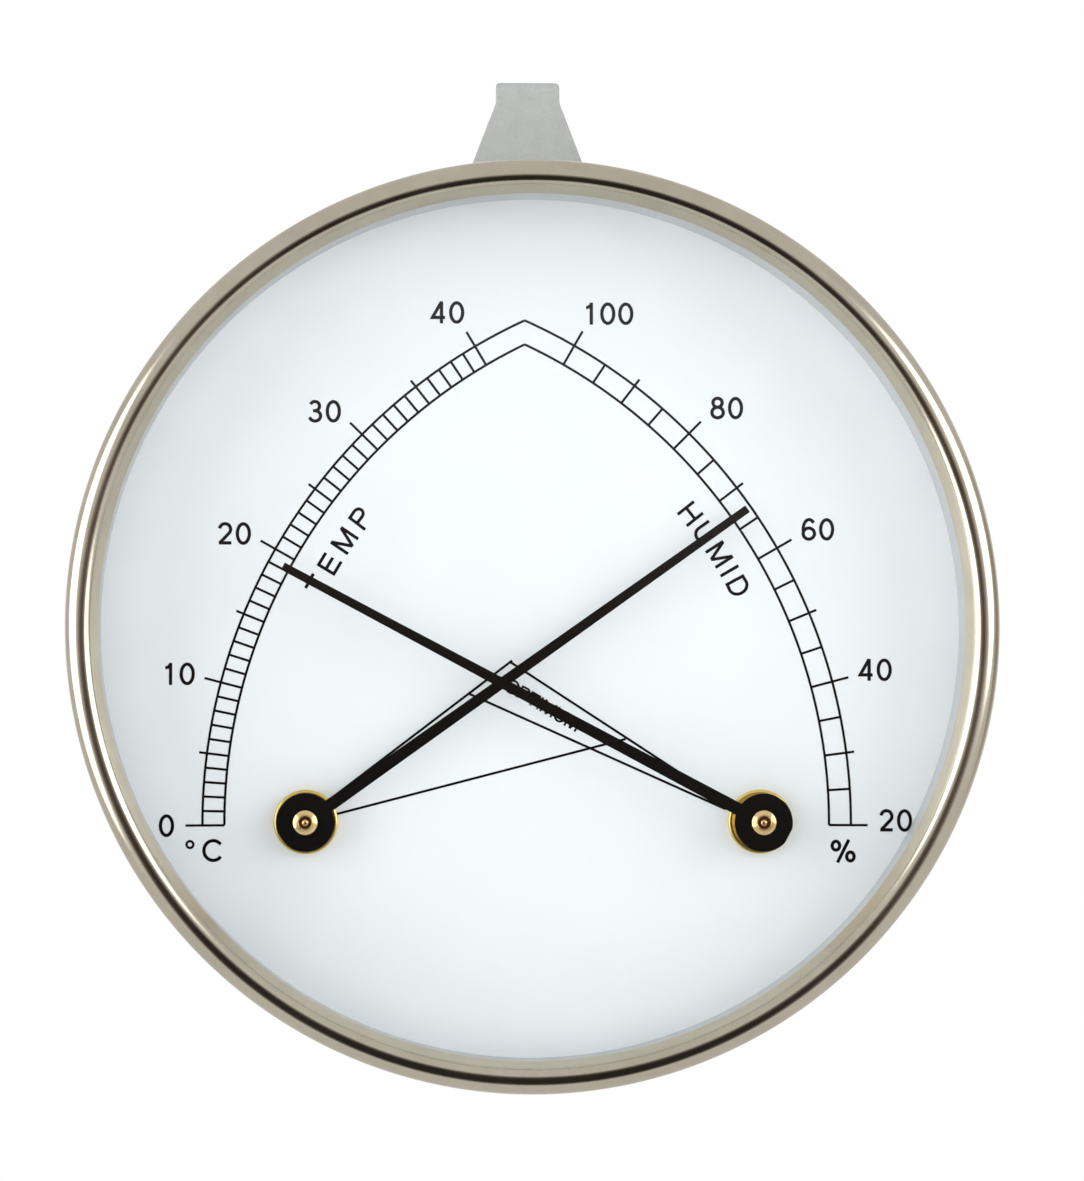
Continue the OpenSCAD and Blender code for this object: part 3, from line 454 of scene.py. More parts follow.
# Each sign in a box one unit high: its width, and the lines that draw it
SIGNS = {
    "0": (0.64, [oval(0.32, 0.5, 0.272, 0.44)]),
    "1": (0.64, [[(0.39, 0), (0.39, 1)], arc(0.15, 0.99, 0.24, 0.215, -90, -5, 6)]),
    "2": (0.64, [arc(0.315, 0.69, 0.25, 0.256, 172, -36) + [(0.075, HALF)], [(0.03, HALF), (0.6, HALF)]]),
    "3": (0.64, [arc(0.305, 0.735, 0.21, 0.211, 158, -90) + [(0.22, 0.524)],
                 arc(0.31, 0.289, 0.255, 0.235, 90, -166)]),
    "4": (0.64, [[(0.45, 0), (0.45, 1)], [(0.45, 0.985), (0.04, 0.27), (0.61, 0.27)]]),
    "6": (0.64, [oval(0.325, 0.305, 0.258, 0.251), arc(0.34, 0.5, 0.272, 0.446, 196, 42)]),
    "8": (0.64, [oval(0.32, 0.742, 0.21, 0.204), oval(0.32, 0.296, 0.26, 0.242)]),
    "C": (1.0, [arc(0.53, 0.5, 0.425, 0.446, 38, 322, 24)]),
    "D": (1.0, [[(0.16, 0), (0.16, 1)],
                [(0.16, 1 - HALF)] + arc(0.46, 0.5, 0.39, 0.446, 90, -90, 20) + [(0.16, HALF)]]),
    "E": (0.93, [[(0.16, 0), (0.16, 1)], [(0.16, HALF), (0.85, HALF)], [(0.16, 0.52), (0.8, 0.52)],
                 [(0.16, 1 - HALF), (0.83, 1 - HALF)]]),
    "H": (1.0, [[(0.15, 0), (0.15, 1)], [(0.85, 0), (0.85, 1)], [(0.15, 0.52), (0.85, 0.52)]]),
    "I": (0.387, [[(0.19, 0), (0.19, 1)]]),
    "M": (1.16, [[(0.15, 0), (0.15, 1)], [(1.01, 0), (1.01, 1)], [(0.17, 0.985), (0.58, 0.03)],
                 [(0.99, 0.985), (0.58, 0.03)]]),
    "O": (1.08, [oval(0.54, 0.5, 0.47, 0.46)]),
    "P": (0.93, [[(0.16, 0), (0.16, 1)],
                 [(0.16, 1 - HALF)] + arc(0.55, 0.72, 0.25, 0.226, 90, -90, 14) + [(0.16, 0.494)]]),
    "T": (0.85, [[(0.425, 0), (0.425, 1)], [(0.03, 1 - HALF), (0.82, 1 - HALF)]]),
    "U": (1.0, [[(0.145, 1)] + arc(0.5, 0.38, 0.355, 0.33, 180, 360, 16) + [(0.855, 1)]]),
    "%": (1.18, [oval(0.26, 0.745, 0.17, 0.2), oval(0.92, 0.255, 0.17, 0.2),
                 [(0.33, -0.02), (0.85, 1.02)]]),
}


def ribbon(points, width):
    """Quads of a line's width along points, mitred where it bends, joined if it is closed."""
    same_point = 1e-6
    sharpest = 0.35
    path = [Vector(p) for p in points]
    closed = (path[0] - path[-1]).length < same_point
    if closed:
        path.pop()
    count = len(path)
    edges = []
    for i, here in enumerate(path):
        before = path[i - 1] if i or closed else None
        after = path[(i + 1) % count] if i < count - 1 or closed else None
        back = (here - before).normalized() if before else (after - here).normalized()
        ahead = (after - here).normalized() if after else back
        along = (back + ahead).normalized()
        across = Vector((-along.y, along.x)) * width / 2 / max(sharpest, along.dot(ahead))
        edges.append((here - across, here + across))
    joins = zip(edges, edges[1:] + edges[:1]) if closed else zip(edges, edges[1:])
    return [(a[0], b[0], b[1], a[1]) for a, b in joins]


def sign_quads(sign, height, origin, turn):
    """A sign's quads, centred on the origin and turned by an angle in radians."""
    width, lines = SIGNS[sign]
    spin = Matrix.Rotation(turn, 2)
    quads = []
    for line in lines:
        points = [(Vector(p) - Vector((width / 2, 0.5))) * height for p in line]
        for quad in ribbon(points, STROKE * height):
            quads.append([origin + spin @ corner for corner in quad])
    return quads


def straight_word(word, height, origin, turn=0.0, gap=0.0):
    """A word's quads on a straight line, centred on the origin."""
    widths = [(SIGNS[sign][0] + gap) * height for sign in word]
    along = Vector((math.cos(turn), math.sin(turn)))
    at = -sum(widths) / 2
    quads = []
    for sign, width in zip(word, widths):
        quads += sign_quads(sign, height, origin + along * (at + width / 2), turn)
        at += width
    return quads


def arched_word(word, height, pivot, radius, middle, gap):
    """A word on an arc about a pivot, heads outwards, read upwards on the left, downwards on the right."""
    widths = [(SIGNS[sign][0] + gap) * height for sign in word]
    at = -sum(widths) / 2
    quads = []
    for sign, width in zip(word, widths):
        shift = math.degrees((at + width / 2) / radius)
        angle = middle - pivot.side * shift
        origin = spoke(pivot, radius, angle)
        turn = math.radians(90 - angle) if pivot.side < 0 else math.radians(angle - 90)
        quads += sign_quads(sign, height, origin, turn)
        at += width
    return quads


# The print sits a little left of the middle of the dial
PRINT_SHIFT = -0.38
NUMERAL_H = 2.48
NUMERAL_GAP = 0.18
# How far longer marks reach past the outer arc
TEN_MARK = 1.9
FIVE_MARK = 0.9
WORD_H = 2.35
SMALL_WORD_H = 1.55
DEGREE_SIGN_R = 0.38

# A pivot: 1 for what is read to the right of it and -1 to the left, and its place
Pivot = namedtuple("Pivot", "side x y")
# A scale about a pivot: its two radii, the angle of its lowest mark, and the angle of one unit
Scale = namedtuple("Scale", "pivot inner outer start step")
CELSIUS = Scale(Pivot(-1, 25.83, -21.94), 59.88, 62.33, -0.28, 1.4895)
PERCENT = Scale(Pivot(1, -25.57, -22.0), 59.48, 61.95, -0.26, 0.7559)
ZONE_LEFT = Pivot(-1, 25.9, -22.12)
ZONE_RIGHT = Pivot(1, -25.9, -22.12)
# The zone's lines: pivot, angle and outer end. All start at the same radius
ZONE_LINES = ((ZONE_RIGHT, 37.3, 30.3), (ZONE_RIGHT, 14.5, 38.1), (ZONE_LEFT, 33.1, 33.4),
              (ZONE_LEFT, 24.2, 35.7))
ZONE_INNER = 4
# Radii of the numerals' middles. The nought stands a little nearer than the wider ones
CELSIUS_NUMERALS = 67.2
CELSIUS_NOUGHT = 66.35
PERCENT_NUMERALS = 67.0
# How far each numeral from 0 to 40 hangs below its mark, in degrees round the pivot
CELSIUS_DROPS = (0.0, 0.25, 0.65, 0.95, 0.6)
# The percentages start at this angle and stand a little closer together than their marks
PERCENT_FIRST = 0.2
PERCENT_CLOSER = 0.9715


def spoke(pivot, radius, angle):
    """A point at a radius and an angle above the level line."""
    turn = math.radians(angle)
    return Vector((pivot.x + pivot.side * radius * math.cos(turn), pivot.y + radius * math.sin(turn)))


def cross_line(pivot, inner, outer, angle):
    """A line of the scales' width that points away from a pivot."""
    return ribbon([spoke(pivot, inner, angle), spoke(pivot, outer, angle)], LINE)


def meeting(left_radius, right_radius):
    """Where an arc of the left scale meets one of the right scale, above the pivots."""
    left = Vector(CELSIUS.pivot[1:])
    right = Vector(PERCENT.pivot[1:])
    apart = left - right
    run = (apart.length_squared + right_radius ** 2 - left_radius ** 2) / (2 * apart.length)
    rise = math.sqrt(right_radius ** 2 - run ** 2)
    ahead = apart.normalized()
    return right + ahead * run + Vector((-ahead.y, ahead.x)) * rise


def scale_arc(scale, radius, top):
    """An arc from the scale's lowest mark up to its top point."""
    pivot = scale.pivot
    end = math.degrees(math.atan2(top.y - pivot.y, pivot.side * (top.x - pivot.x)))
    steps = 60
    points = [spoke(pivot, radius, scale.start + (end - scale.start) * i / steps) for i in range(steps + 1)]
    return ribbon(points, LINE)


def scale_arcs():
    """Both scales' double arcs, which meet above the middle of the dial."""
    quads = []
    for left_radius, right_radius in ((CELSIUS.inner, PERCENT.inner), (CELSIUS.outer, PERCENT.outer)):
        top = meeting(left_radius, right_radius)
        quads += scale_arc(CELSIUS, left_radius, top) + scale_arc(PERCENT, right_radius, top)
    return quads


def celsius_marks():
    """0 to 40 degrees, one cross line a degree. Each numeral hangs a little below its mark."""
    quads = []
    for degree in range(41):
        mark = TEN_MARK if degree % 10 == 0 else FIVE_MARK if degree % 5 == 0 else 0
        angle = CELSIUS.start + degree * CELSIUS.step
        quads += cross_line(CELSIUS.pivot, CELSIUS.inner, CELSIUS.outer + mark, angle)
    for tens, drop in enumerate(CELSIUS_DROPS):
        radius = CELSIUS_NUMERALS if tens else CELSIUS_NOUGHT
        origin = spoke(CELSIUS.pivot, radius, CELSIUS.start + tens * 10 * CELSIUS.step - drop)
        quads += straight_word(str(tens * 10), NUMERAL_H, origin, gap=NUMERAL_GAP)
    return quads


def percent_marks():
    """20 to 100 per cent, one cross line each 5."""
    quads = []
    for percent in range(20, 101, 5):
        mark = FIVE_MARK if percent % 10 == 0 else 0
        mark = TEN_MARK if percent % 20 == 0 else mark
        angle = PERCENT.start + (percent - 20) * PERCENT.step
        quads += cross_line(PERCENT.pivot, PERCENT.inner, PERCENT.outer + mark, angle)
    for percent in range(20, 101, 20):
        angle = PERCENT_FIRST + (percent - 20) * PERCENT.step * PERCENT_CLOSER
        origin = spoke(PERCENT.pivot, PERCENT_NUMERALS, angle)
        quads += straight_word(str(percent), NUMERAL_H, origin, gap=NUMERAL_GAP)
    return quads


def moderate_zone():
    """Thin lines from both pivots that frame the readings of a pleasant room."""
    quads = []
    for pivot, angle, end in ZONE_LINES:
        quads += cross_line(pivot, ZONE_INNER, end, angle)
    return quads


def dial_quads():
    """All that is printed on the dial."""
    quads = scale_arcs() + celsius_marks() + percent_marks() + moderate_zone()
    quads += arched_word("TEMP", WORD_H, CELSIUS.pivot, radius=56.24, middle=32.9, gap=0.28)
    quads += arched_word("HUMID", WORD_H, PERCENT.pivot, radius=56.0, middle=33.4, gap=0.16)
    below_blade = Vector((1.65, -8.75))
    quads += straight_word("OPTIMUM", SMALL_WORD_H, below_blade, turn=math.radians(-30.5), gap=-0.06)
    quads += straight_word("C", NUMERAL_H, Vector((-35.35, -25.05)))
    quads += straight_word("%", NUMERAL_H, Vector((35.5, -25.2)))
    quads += ribbon(oval(-37.89, -24.38, DEGREE_SIGN_R, DEGREE_SIGN_R), LINE)
    return quads


def make_dial_print():
    """One flat sheet of ink: the overlapping quads are cut into triangles that don't overlap."""
    corners = []
    faces = []
    for quad in dial_quads():
        faces.append(list(range(len(corners), len(corners) + len(quad))))
        corners += quad
    weld = 1e-5
    points, _, triangles, _, _, origins = delaunay_2d_cdt(corners, [], faces, 0, weld)
    mesh = bmesh.new()
    ink = []
    for p in points:
        x = BEZEL.x + (p.x + PRINT_SHIFT) * MM
        ink.append(mesh.verts.new((x, DIAL.front - PRINT_T, BEZEL.z + p.y * MM)))
    for triangle, origin in zip(triangles, origins):
        if origin:
            mesh.faces.new([ink[i] for i in triangle])
    bmesh.ops.delete(mesh, geom=[v for v in mesh.verts if not v.link_faces], context="VERTS")
    raised = bmesh.ops.extrude_face_region(mesh, geom=mesh.faces[:])["geom"]
    moved = [v for v in raised if isinstance(v, bmesh.types.BMVert)]
    bmesh.ops.translate(mesh, verts=moved, vec=(0, PRINT_T, 0))
    made = mesh_object("dial_print", mesh)
    dress(made, printed_ink(), "instrument", "pointer_black")


# Hubs and pointers

def make_collar(hub):
    """Brass bush with a dished front inside a domed rim, riveted behind the base plate."""
    place = HUBS[hub]
    dial = DIAL.front
    rim_in = 0.1 * MM
    rim_out = 0.38 * MM
    rim_h = 0.2 * MM
    bore = 0.74 * MM
    floor_r = 2.14 * MM
    floor_y = dial - 0.25 * MM
    shank = 3.0 * MM
    flare = 3.6 * MM
    flare_y = place.rear - 0.4 * MM
    crest_x = place.radius - rim_out
    crest_y = place.front + rim_h
    inner = [Vector((bore, floor_y)), Vector((floor_r, floor_y))]
    crest = arc(crest_x, crest_y, rim_in, rim_h, -180, -90, 6)
    crest += arc(crest_x, crest_y, rim_out, rim_h, -90, 0, 12)[1:]
    outer = [(place.radius, dial), (shank, dial), (shank, flare_y), (flare, flare_y),
             (flare, place.rear), (bore, place.rear)]
    made = lathe(hub + "_bush", inner + crest + [Vector(p) for p in outer], place, steps=128)
    brass = polished_metal(hub + "_bush_brass", place, dark=(0.82, 0.59, 0.15), light=(0.96, 0.74, 0.27),
                           roughness=0.2, tarnish=(0.3, 0.18, 0.06))
    dress(made, brass, "instrument", "collar_brass", hub + "_collar")


def make_collet(hub):
    """Turned brass collet: a sloped ring and a bead round the recess where the arbor's end shows, the
    recess painted dark red-brown as shade.
    """
    place = round_place(hub + "_collet")
    pointer_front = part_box(hub + "_pointer")[0].y
    pointer_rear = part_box(hub + "_pointer")[1].y
    neck = place.radius - 0.32 * MM
    recess = 0.725 * MM
    recess_corner = 0.06 * MM
    hole = 0.45 * MM
    bead = 0.09 * MM
    valley = 0.07 * MM
    slope = math.tan(math.radians(24))
    edge = 0.05 * MM
    tight_edge = 0.02 * MM
    chamfer = 0.1 * MM
    recess_y = pointer_front + 0.12 * MM
    flange_y = pointer_rear + 0.3 * MM
    inner = recess + 2 * bead
    edge_y = place.front + valley + (place.radius - inner) * slope
    corners = [(recess, recess_y, recess_corner)]
    corners += [(p.x, p.y, 0) for p in arc(recess + bead, place.front + bead, bead, bead, 180, 345, 10)]
    corners += [(inner, place.front + valley, 0), (place.radius, edge_y, edge),
                (place.radius, pointer_front, tight_edge), (neck, pointer_front, 0),
                (neck, pointer_rear, 0), (place.radius, pointer_rear, tight_edge),
                (place.radius, flange_y, edge), (neck, flange_y + chamfer, 0),
                (neck, place.rear, edge), (hole, place.rear, 0), (hole, recess_y, 0)]
    made = lathe(hub + "_nut", rounded(corners, steps=6), place, steps=96)
    brass = polished_metal(hub + "_nut_brass", place, dark=(0.88, 0.62, 0.26), light=(0.98, 0.76, 0.38),
                           roughness=0.14, tarnish=(0.3, 0.12, 0.04))
    dress(made, brass, HANDS[hub], "collet_brass", hub + "_collet")
    # The recess faces get a dark red-brown colour: painted shade and a painted dark reflection, not the
    # brass's own colour.
    painted_recess_shade = stamped_metal(hub + "_nut_recess_shade", (0.2, 0.06, 0.02), (0.36, 0.13, 0.04), roughness=0.4)
    made.data.materials.append(painted_recess_shade)
    slack = 0.01 * MM
    for face in made.data.polygons:
        reach = math.hypot(face.center.x - place.x, face.center.z - place.z)
        if reach < recess + slack and face.center.y > place.front + 2 * bead:
            face.material_index = 1


def make_arbor(hub):
    """Stepped arbor with a domed front end."""
    place = round_place(hub + "_arbor")
    collet_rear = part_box(hub + "_collet")[1].y
    bridge_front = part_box(hub + "_bridge")[0].y
    tip = 0.43 * MM
    flatness = 1.4
    dome = tip * flatness
    rim_angle = math.degrees(math.asin(tip / dome))
    shoulder = collet_rear + 0.05 * MM
    pivot = 0.3 * MM
    pivot_y = bridge_front - 0.1 * MM
    head = arc(0, place.front + dome, dome, dome, -90, -90 + rim_angle, 10)
    head[0].x = 0
    body = [(tip, shoulder), (place.radius, shoulder), (place.radius, pivot_y), (pivot, pivot_y),
            (pivot, place.rear), (0, place.rear)]
    made = lathe(hub + "_spindle", head + [Vector(p) for p in body], place, steps=64, closed=False)
    brass = polished_metal(hub + "_spindle_brass", place, dark=(0.7, 0.5, 0.22), light=(0.82, 0.62, 0.32),
                           roughness=0.2, tarnish=(0.3, 0.16, 0.06))
    dress(made, brass, HANDS[hub], "steel", hub + "_arbor")


HAND_LEN = 60.6 * MM
DISC_R = 3.24 * MM
DISC_FLAT = 1.7 * MM
BLADE_W = 1.4 * MM
TIP_W = 0.9 * MM
HAND_BORE_R = 1.075 * MM


def pointer_outline():
    """Outline of a pointer that points along x, with a flat on its disc opposite the blade."""
    root = math.degrees(math.asin(BLADE_W / 2 / DISC_R))
    back = 180 - math.degrees(math.asin(DISC_FLAT / 2 / DISC_R))
    upper = arc(0, 0, DISC_R, DISC_R, root, back, 60)
    lower = arc(0, 0, DISC_R, DISC_R, -back, -root, 60)
    tip = [Vector((HAND_LEN, -TIP_W / 2)), Vector((HAND_LEN, TIP_W / 2))]
    return lower + tip + upper


def make_pointer(hub, direction):
    """Sheet pointer: disc and blade in one, with a hole for the collet and softened edges."""
    pivot = HUBS[hub]
    low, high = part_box(hub + "_pointer")
    hole = arc(0, 0, HAND_BORE_R, HAND_BORE_R, 0, 360, 48)[:-1]
    mesh = bmesh.new()
    edges = []
    for loop in (pointer_outline(), hole):
        ring = [mesh.verts.new((p.x, low.y, p.y)) for p in loop]
        edges += [mesh.edges.new(pair) for pair in zip(ring, ring[1:] + ring[:1])]
    bmesh.ops.triangle_fill(mesh, use_beauty=True, edges=edges)
    raised = bmesh.ops.extrude_face_region(mesh, geom=mesh.faces[:])["geom"]
    moved = [v for v in raised if isinstance(v, bmesh.types.BMVert)]
    bmesh.ops.translate(mesh, verts=moved, vec=(0, high.y - low.y, 0))
    mesh.transform(Matrix.Translation((pivot.x, 0, pivot.z)) @ Matrix.Rotation(-direction, 4, "Y"))
    made = mesh_object(hub + "_hand", mesh)
    soften(made, width=0.03 * MM)
    dress(made, matt_black(hub + "_hand_black", 0.003, 0.55), HANDS[hub], "pointer_black", hub + "_pointer")


def soften(made, width):
    """Rounds a piece's sharp edges with a bevel that stays as a modifier."""
    sharp = math.radians(40)
    edge = made.modifiers.new("soft_edges", "BEVEL")
    edge.width = width
    edge.segments = 2
    edge.limit_method = "ANGLE"
    edge.angle_limit = sharp
    edge.harden_normals = False


def pointer_direction(hub):
    """The angle of a pointer from +X towards +Z, worked out from the corner of the box its tip reaches."""
    pivot = HUBS[hub]
    low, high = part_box(hub + "_pointer")
    side = -1 if hub == "thermo" else 1
    reach_x = max(side * (low.x - pivot.x), side * (high.x - pivot.x))
    reach_z = high.z - pivot.z
    half = TIP_W / 2
    rise = HAND_LEN * reach_z - half * reach_x
    run = HAND_LEN * reach_x - half * reach_z
    return math.atan2(rise, side * run)


# Hanger

HANGER_T = 1.0 * MM
NECK_W = 7.4 * MM
NECK_H = 2.5 * MM
NECK_CORNER = 0.45 * MM
FLARE = math.radians(21)
BEND_R = 0.4 * MM
FOOT_CORNER = 4.0 * MM
LEAF_END_R = 2.0 * MM
# How far the rear leaf reaches below the hook's seat
LEAF_LEN = 6.0 * MM
PAINT_DARK = (0.4, 0.41, 0.405)
PAINT_LIGHT = (0.47, 0.48, 0.475)


def hanger_half_width(z, low, high):
    """Half the hanger's width at a height on its front leaf."""
    neck = NECK_W / 2
    foot = high.x
    flare_top = high.z - NECK_H
    if z > high.z - NECK_CORNER:
        rise = z - (high.z - NECK_CORNER)
        return neck - NECK_CORNER + math.sqrt(max(0.0, NECK_CORNER ** 2 - rise ** 2))
    if z > flare_top:
        return neck
    half = min(foot, neck + (flare_top - z) * math.tan(FLARE))
    left = z - low.z
    if left < FOOT_CORNER:
        half = foot - FOOT_CORNER + math.sqrt(max(0.0, FOOT_CORNER ** 2 - (FOOT_CORNER - left) ** 2))
    return half


def hanger_stations(low, high):
    """Points along the middle of the sheet, as (y, z, outward direction, half width), from foot to leaf."""
    half_t = HANGER_T / 2
    front_y = low.y + half_t
    rear_y = high.y - half_t
    bend = BEND_R + half_t
    bend_z = high.z - HANGER_T - BEND_R
    narrow = NECK_W / 2 - NECK_CORNER
    leaf_end = bend_z + BEND_R - LEAF_LEN
    foot_steps = 12
    front_steps = 60
    bend_steps = 16
    leaf_steps = 24
    stations = []
    for k in range(foot_steps):
        z = low.z + FOOT_CORNER * (1 - math.cos(math.pi / 2 * k / foot_steps))
        stations.append((front_y, z, (-1, 0), hanger_half_width(z, low, high)))
    for k in range(front_steps + 1):
        z = low.z + FOOT_CORNER + (bend_z - low.z - FOOT_CORNER) * k / front_steps
        stations.append((front_y, z, (-1, 0), hanger_half_width(z, low, high)))
    for k in range(1, bend_steps + 1):
        angle = math.pi / 2 * k / bend_steps
        out = (-math.cos(angle), math.sin(angle))
        outer_z = bend_z + (BEND_R + HANGER_T) * out[1]
        half = hanger_half_width(outer_z, low, high)
        stations.append((front_y + bend + bend * out[0], bend_z + bend * out[1], out, half))
    for k in range(bend_steps + 1):
        angle = math.pi / 2 * (1 - k / bend_steps)
        out = (math.cos(angle), math.sin(angle))
        stations.append((rear_y - bend + bend * out[0], bend_z + bend * out[1], out, narrow))
    for k in range(1, leaf_steps + 1):
        z = bend_z + (leaf_end - bend_z) * math.sin(math.pi / 2 * k / leaf_steps)
        left = z - leaf_end
        half = narrow
        if left < LEAF_END_R:
            half = narrow - LEAF_END_R + math.sqrt(max(0.0, LEAF_END_R ** 2 - (LEAF_END_R - left) ** 2))
        stations.append((rear_y, z, (1, 0), half))
    return stations


def make_hanger():
    """Bent sheet swept along its own side profile, its edges rounded."""
    low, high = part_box("hanger")
    edge = 0.16 * MM
    half_t = HANGER_T / 2
    mesh = bmesh.new()
    rings = []
    for y, z, out, half in hanger_stations(low, high):
        corners = [(-half, -half_t, edge), (half, -half_t, edge),
                   (half, half_t, edge), (-half, half_t, edge)]
        ring = []
        for p in rounded(corners, steps=3):
            ring.append(mesh.verts.new((p.x, y + out[0] * p.y, z + out[1] * p.y)))
        rings.append(ring)
    for a, b in zip(rings, rings[1:]):
        for i in range(len(a)):
            j = (i + 1) % len(a)
            mesh.faces.new([a[i], a[j], b[j], b[i]])
    for ring in (rings[0], rings[-1]):
        mesh.faces.new(ring)
    made = mesh_object("hanger_tab", mesh)
    paint = textured_paint("hanger_grey", PAINT_DARK, PAINT_LIGHT, roughness=0.42)
    dress(made, paint, "instrument", "hanger_paint", "hanger")


# Materials of the nodes that keep their own shape

def paint_nodes():
    """Gives the nodes in these slots their materials. Nodes that a piece replaces stay hidden."""
    lean = math.radians(15)
    # The spacer ring is white: its colour is set mid-grey as painted shade, which also darkens the rim of
    # the dial beside it.
    spacer = lacquer("spacer_painted_shade", (0.53, 0.545, 0.56), (0.57, 0.585, 0.6), roughness=0.5)
    white = lacquer("dial_white", (0.885, 0.925, 0.945), (0.905, 0.94, 0.96), roughness=0.38)
    case = textured_paint("case_grey", PAINT_DARK, PAINT_LIGHT, roughness=0.42)
    steel = stamped_metal("steel_parts", (0.5, 0.5, 0.5), (0.62, 0.61, 0.6), roughness=0.28)
    brass = stamped_metal("brass_parts", (0.66, 0.5, 0.2), (0.8, 0.62, 0.28), roughness=0.3)
    strip = stamped_metal("bimetal_strip", (0.5, 0.34, 0.18), (0.66, 0.47, 0.26), roughness=0.34,
                          grain=0.05)
    hair = fibres("hair_strands", (0.42, 0.28, 0.15), (0.62, 0.45, 0.27), lean)
    thread = fibres("silk_thread", (0.66, 0.62, 0.54), (0.8, 0.77, 0.7), lean)
    by_slot = {"spacer": spacer, "dial_paint": white, "case_paint": case, "steel": steel,
               "movement_brass": brass, "bimetal": strip, "hair": hair, "thread": thread}
    slots = {row["node"]: row["material_slot"] for row in frame["record"]["subparts"]}
    for name, made in frame["nodes"].items():
        if slots[name] in by_slot:
            made.material_slots[0].material = by_slot[slots[name]]


# Camera, lights and floor

CAMERA_AT = Vector((-13.55, -449, -72.5)) * MM
CAMERA_AIM = Vector((0.8, -29, -59.32)) * MM
LENS = 116.84
FLOOR_GAP = 600 * MM


def make_camera():
    """The photograph's camera: a little to the left of the dial's middle and a little below it."""
    data = bpy.data.cameras.new("camera")
    data.lens = LENS
    data.sensor_width = 36
    data.sensor_fit = "AUTO"
    data.clip_start = 0.01
    made = bpy.data.objects.new("camera", data)
    made.location = CAMERA_AT
    made.rotation_euler = (CAMERA_AIM - CAMERA_AT).to_track_quat("-Z", "Y").to_euler()
    bpy.context.scene.collection.objects.link(made)
    bpy.context.scene.camera = made


def direction(azimuth, elevation):
    """The way from the dial to a place in front of it, positive to the right and up."""
    turn = math.radians(azimuth)
    rise = math.radians(elevation)
    return Vector((math.sin(turn) * math.cos(rise), -math.cos(turn) * math.cos(rise), math.sin(rise)))


def softbox(name, azimuth, elevation, half_width, half_height, radiance, mirrored=True):
    """An oval lamp that faces the dial and fills the given half angles. Its power follows its area."""
    distance = 1.1
    data = bpy.data.lights.new(name, "AREA")
    data.shape = "ELLIPSE"
    data.size = 2 * distance * math.tan(math.radians(half_width))
    data.size_y = 2 * distance * math.tan(math.radians(half_height))
    data.energy = radiance * math.pi * math.pi / 4 * data.size * data.size_y
    made = bpy.data.objects.new(name, data)
    way = direction(azimuth, elevation)
    made.location = Vector((BEZEL.x, BEZEL.front, BEZEL.z)) + way * distance
    made.rotation_euler = (-way).to_track_quat("-Z", "Y").to_euler()
    made.visible_camera = False
    made.visible_glossy = mirrored
    made.visible_transmission = mirrored
    bpy.context.scene.collection.objects.link(made)


def make_lights():
    """Two softboxes at the sides and a plain fill from the front that stays out of metal and glass."""
    softbox("left_softbox", azimuth=-64, elevation=4, half_width=26, half_height=28, radiance=2.0)
    softbox("right_softbox", azimuth=53, elevation=13, half_width=24, half_height=19, radiance=2.0)
    softbox("front_fill", azimuth=0, elevation=-3, half_width=24, half_height=24, radiance=1.2,
            mirrored=False)


def smooth_step(tree, value, start, end):
    """Rises smoothly from 0 at the start to 1 at the end."""
    sockets = {"Value": value, "From Min": start, "From Max": end}
    return add(tree, "MapRange", sockets, interpolation_type="SMOOTHSTEP").outputs[0]


def make_world():
    """A pale grey studio, white behind the object and to the camera, with a dark doorway on the right."""
    white = (1.0, 1.0, 1.0)
    grey = (0.72, 0.72, 0.72)
    dark = (0.4, 0.37, 0.33)
    world = bpy.data.worlds.new("studio")
    world.use_nodes = True
    bpy.context.scene.world = world
    tree = world.node_tree
    way = add(tree, "TexCoord").outputs["Generated"]
    depth = add(tree, "SeparateXYZ", {"Vector": way}).outputs[1]
    walls = blend_colour(tree, smooth_step(tree, depth, 0.75, 0.95), grey, white)
    sockets = {0: way, 1: direction(azimuth=103, elevation=2)}
    doorway = add(tree, "VectorMath", sockets, operation="DOT_PRODUCT").outputs["Value"]
    near = smooth_step(tree, doorway, math.cos(math.radians(26)), math.cos(math.radians(8)))
    room = blend_colour(tree, near, walls, dark)
    path = add(tree, "LightPath")
    shown = blend_colour(tree, path.outputs["Is Camera Ray"], room, white)
    tree.links.new(shown, tree.nodes["Background"].inputs["Color"])


def make_card():
    """The dark camera side in front of the dial, with a soft brown edge, seen only in metal and glass."""
    radius = 0.235
    core_r = 0.55 * radius
    solid_r = 0.8 * radius
    fade_r = 1.35 * radius
    half = 1.4 * radius
    aside = -0.01
    ahead = 0.36
    below = 0.185
    middle = Vector((aside, BEZEL.front - ahead, BEZEL.z - below))
    made, tree, _ = new_material("card_dark")
    sockets = {0: object_coords(tree), 1: middle}
    far = add(tree, "VectorMath", sockets, operation="DISTANCE").outputs["Value"]
    core = smooth_step(tree, far, radius, core_r)
    colour = blend_colour(tree, core, (0.15, 0.11, 0.092), (0.028, 0.023, 0.022))
    dark = add(tree, "Emission", {"Color": colour})
    clear = add(tree, "BsdfTransparent")
    both = add(tree, "MixShader", {0: smooth_step(tree, far, fade_r, solid_r)})
    tree.links.new(clear.outputs[0], both.inputs[1])
    tree.links.new(dark.outputs[0], both.inputs[2])
    tree.links.new(both.outputs[0], tree.nodes["Material Output"].inputs["Surface"])
    corners = []
    for across, up in ((-half, -half), (half, -half), (half, half), (-half, half)):
        corners.append((middle.x + across, middle.y, middle.z + up))
    card = plane("card", corners, made)
    card.visible_camera = False
    card.visible_diffuse = False
    card.visible_shadow = False


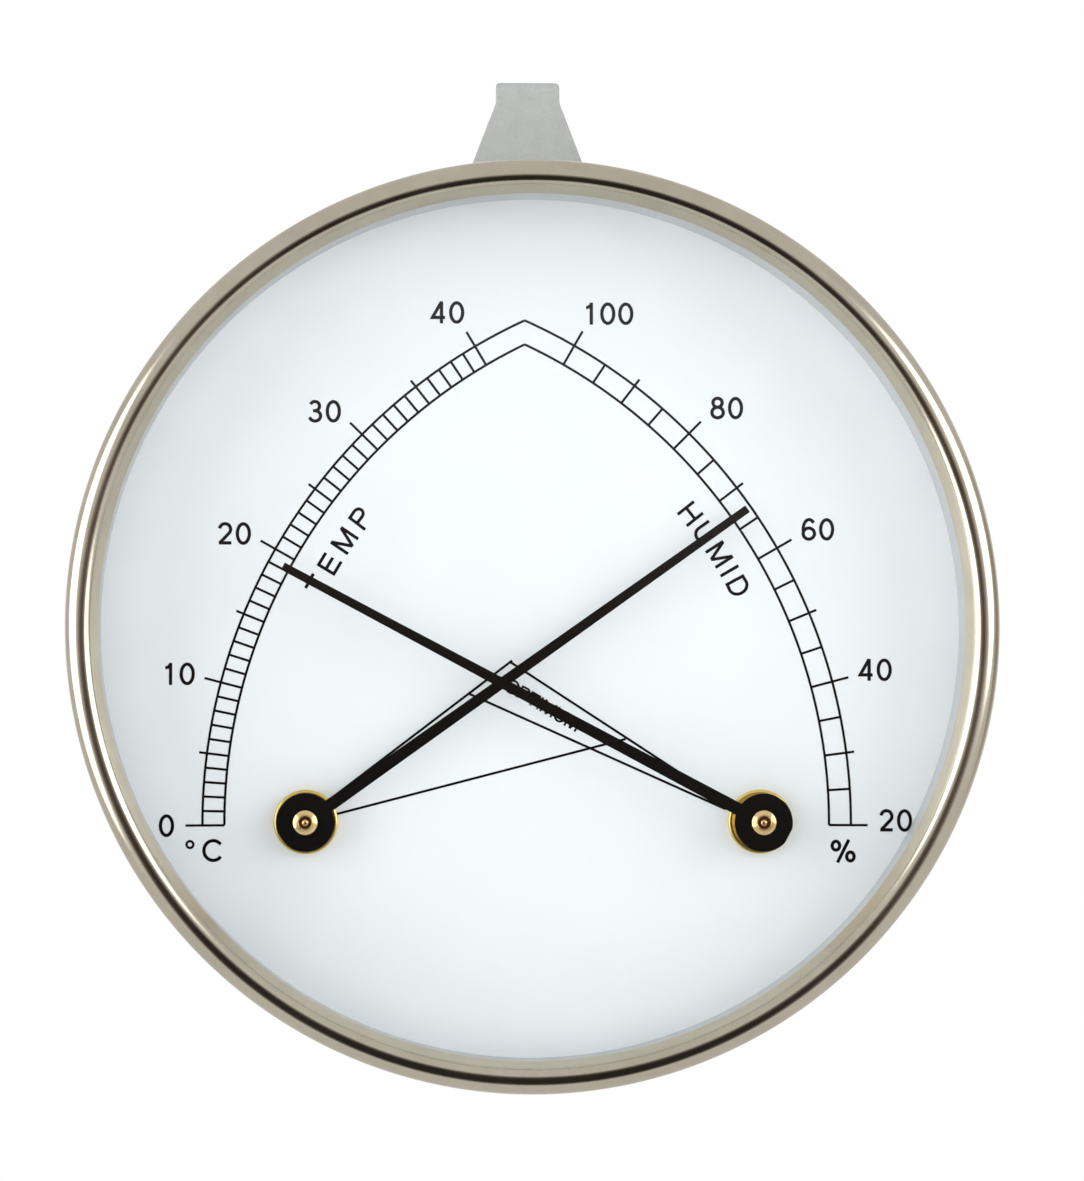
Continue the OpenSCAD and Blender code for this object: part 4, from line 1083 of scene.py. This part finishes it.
def plane(name, corners, material):
    """A flat piece of the set, which isn't part of the object."""
    mesh = bmesh.new()
    mesh.faces.new([mesh.verts.new(c) for c in corners])
    made = mesh_object(name, mesh)
    made.data.materials.append(material)
    return made


def floor_material():
    """Pale floor, lifted to white for the camera, that keeps the object's shadow near it."""
    shadow_reach = 0.35
    white_from = 1.2
    lift_strength = 0.3
    made, tree, shader = new_material("floor_pale")
    coords = object_coords(tree)
    mottle = noise(tree, coords, grain=30 * MM, detail=4.0, roughness=0.6)
    link(tree, blend_colour(tree, mottle, (0.78, 0.78, 0.78), (0.8, 0.8, 0.8)), shader, "Base Color")
    set_values(shader, Roughness=0.9, Specular_IOR_Level=0.1)
    path = add(tree, "LightPath")
    point = add(tree, "VectorMath", {0: coords}, operation="LENGTH")
    far = span(tree, point.outputs["Value"], shadow_reach, white_from, 0.0, 1.0)
    white = add(tree, "Emission", {"Color": (1, 1, 1, 1), "Strength": 1.0})
    lift = add(tree, "Emission", {"Color": (1, 1, 1, 1), "Strength": lift_strength})
    near = add(tree, "AddShader")
    tree.links.new(shader.outputs[0], near.inputs[0])
    tree.links.new(lift.outputs[0], near.inputs[1])
    shown = add(tree, "MixShader", {0: far})
    tree.links.new(near.outputs[0], shown.inputs[1])
    tree.links.new(white.outputs[0], shown.inputs[2])
    both = add(tree, "MixShader", {0: path.outputs["Is Camera Ray"]})
    tree.links.new(shader.outputs[0], both.inputs[1])
    tree.links.new(shown.outputs[0], both.inputs[2])
    tree.links.new(both.outputs[0], tree.nodes["Material Output"].inputs["Surface"])
    return made


def make_floor():
    """Metal and glass show the studio round the object in place of the floor."""
    level = BEZEL.z - BEZEL.radius - FLOOR_GAP
    half = 4.0
    corners = [(-half, -half, level), (half, -half, level), (half, half, level), (-half, half, level)]
    floor = plane("floor", corners, floor_material())
    floor.visible_glossy = False
    floor.visible_transmission = False


make_camera()
make_lights()
make_world()
make_floor()
make_card()
bpy.context.scene.view_settings.view_transform = "Standard"

make_bezel()
make_glass()
make_dial_print()
for hub in HUBS:
    make_collar(hub)
    make_collet(hub)
    make_arbor(hub)
    make_pointer(hub, pointer_direction(hub))
make_hanger()
paint_nodes()
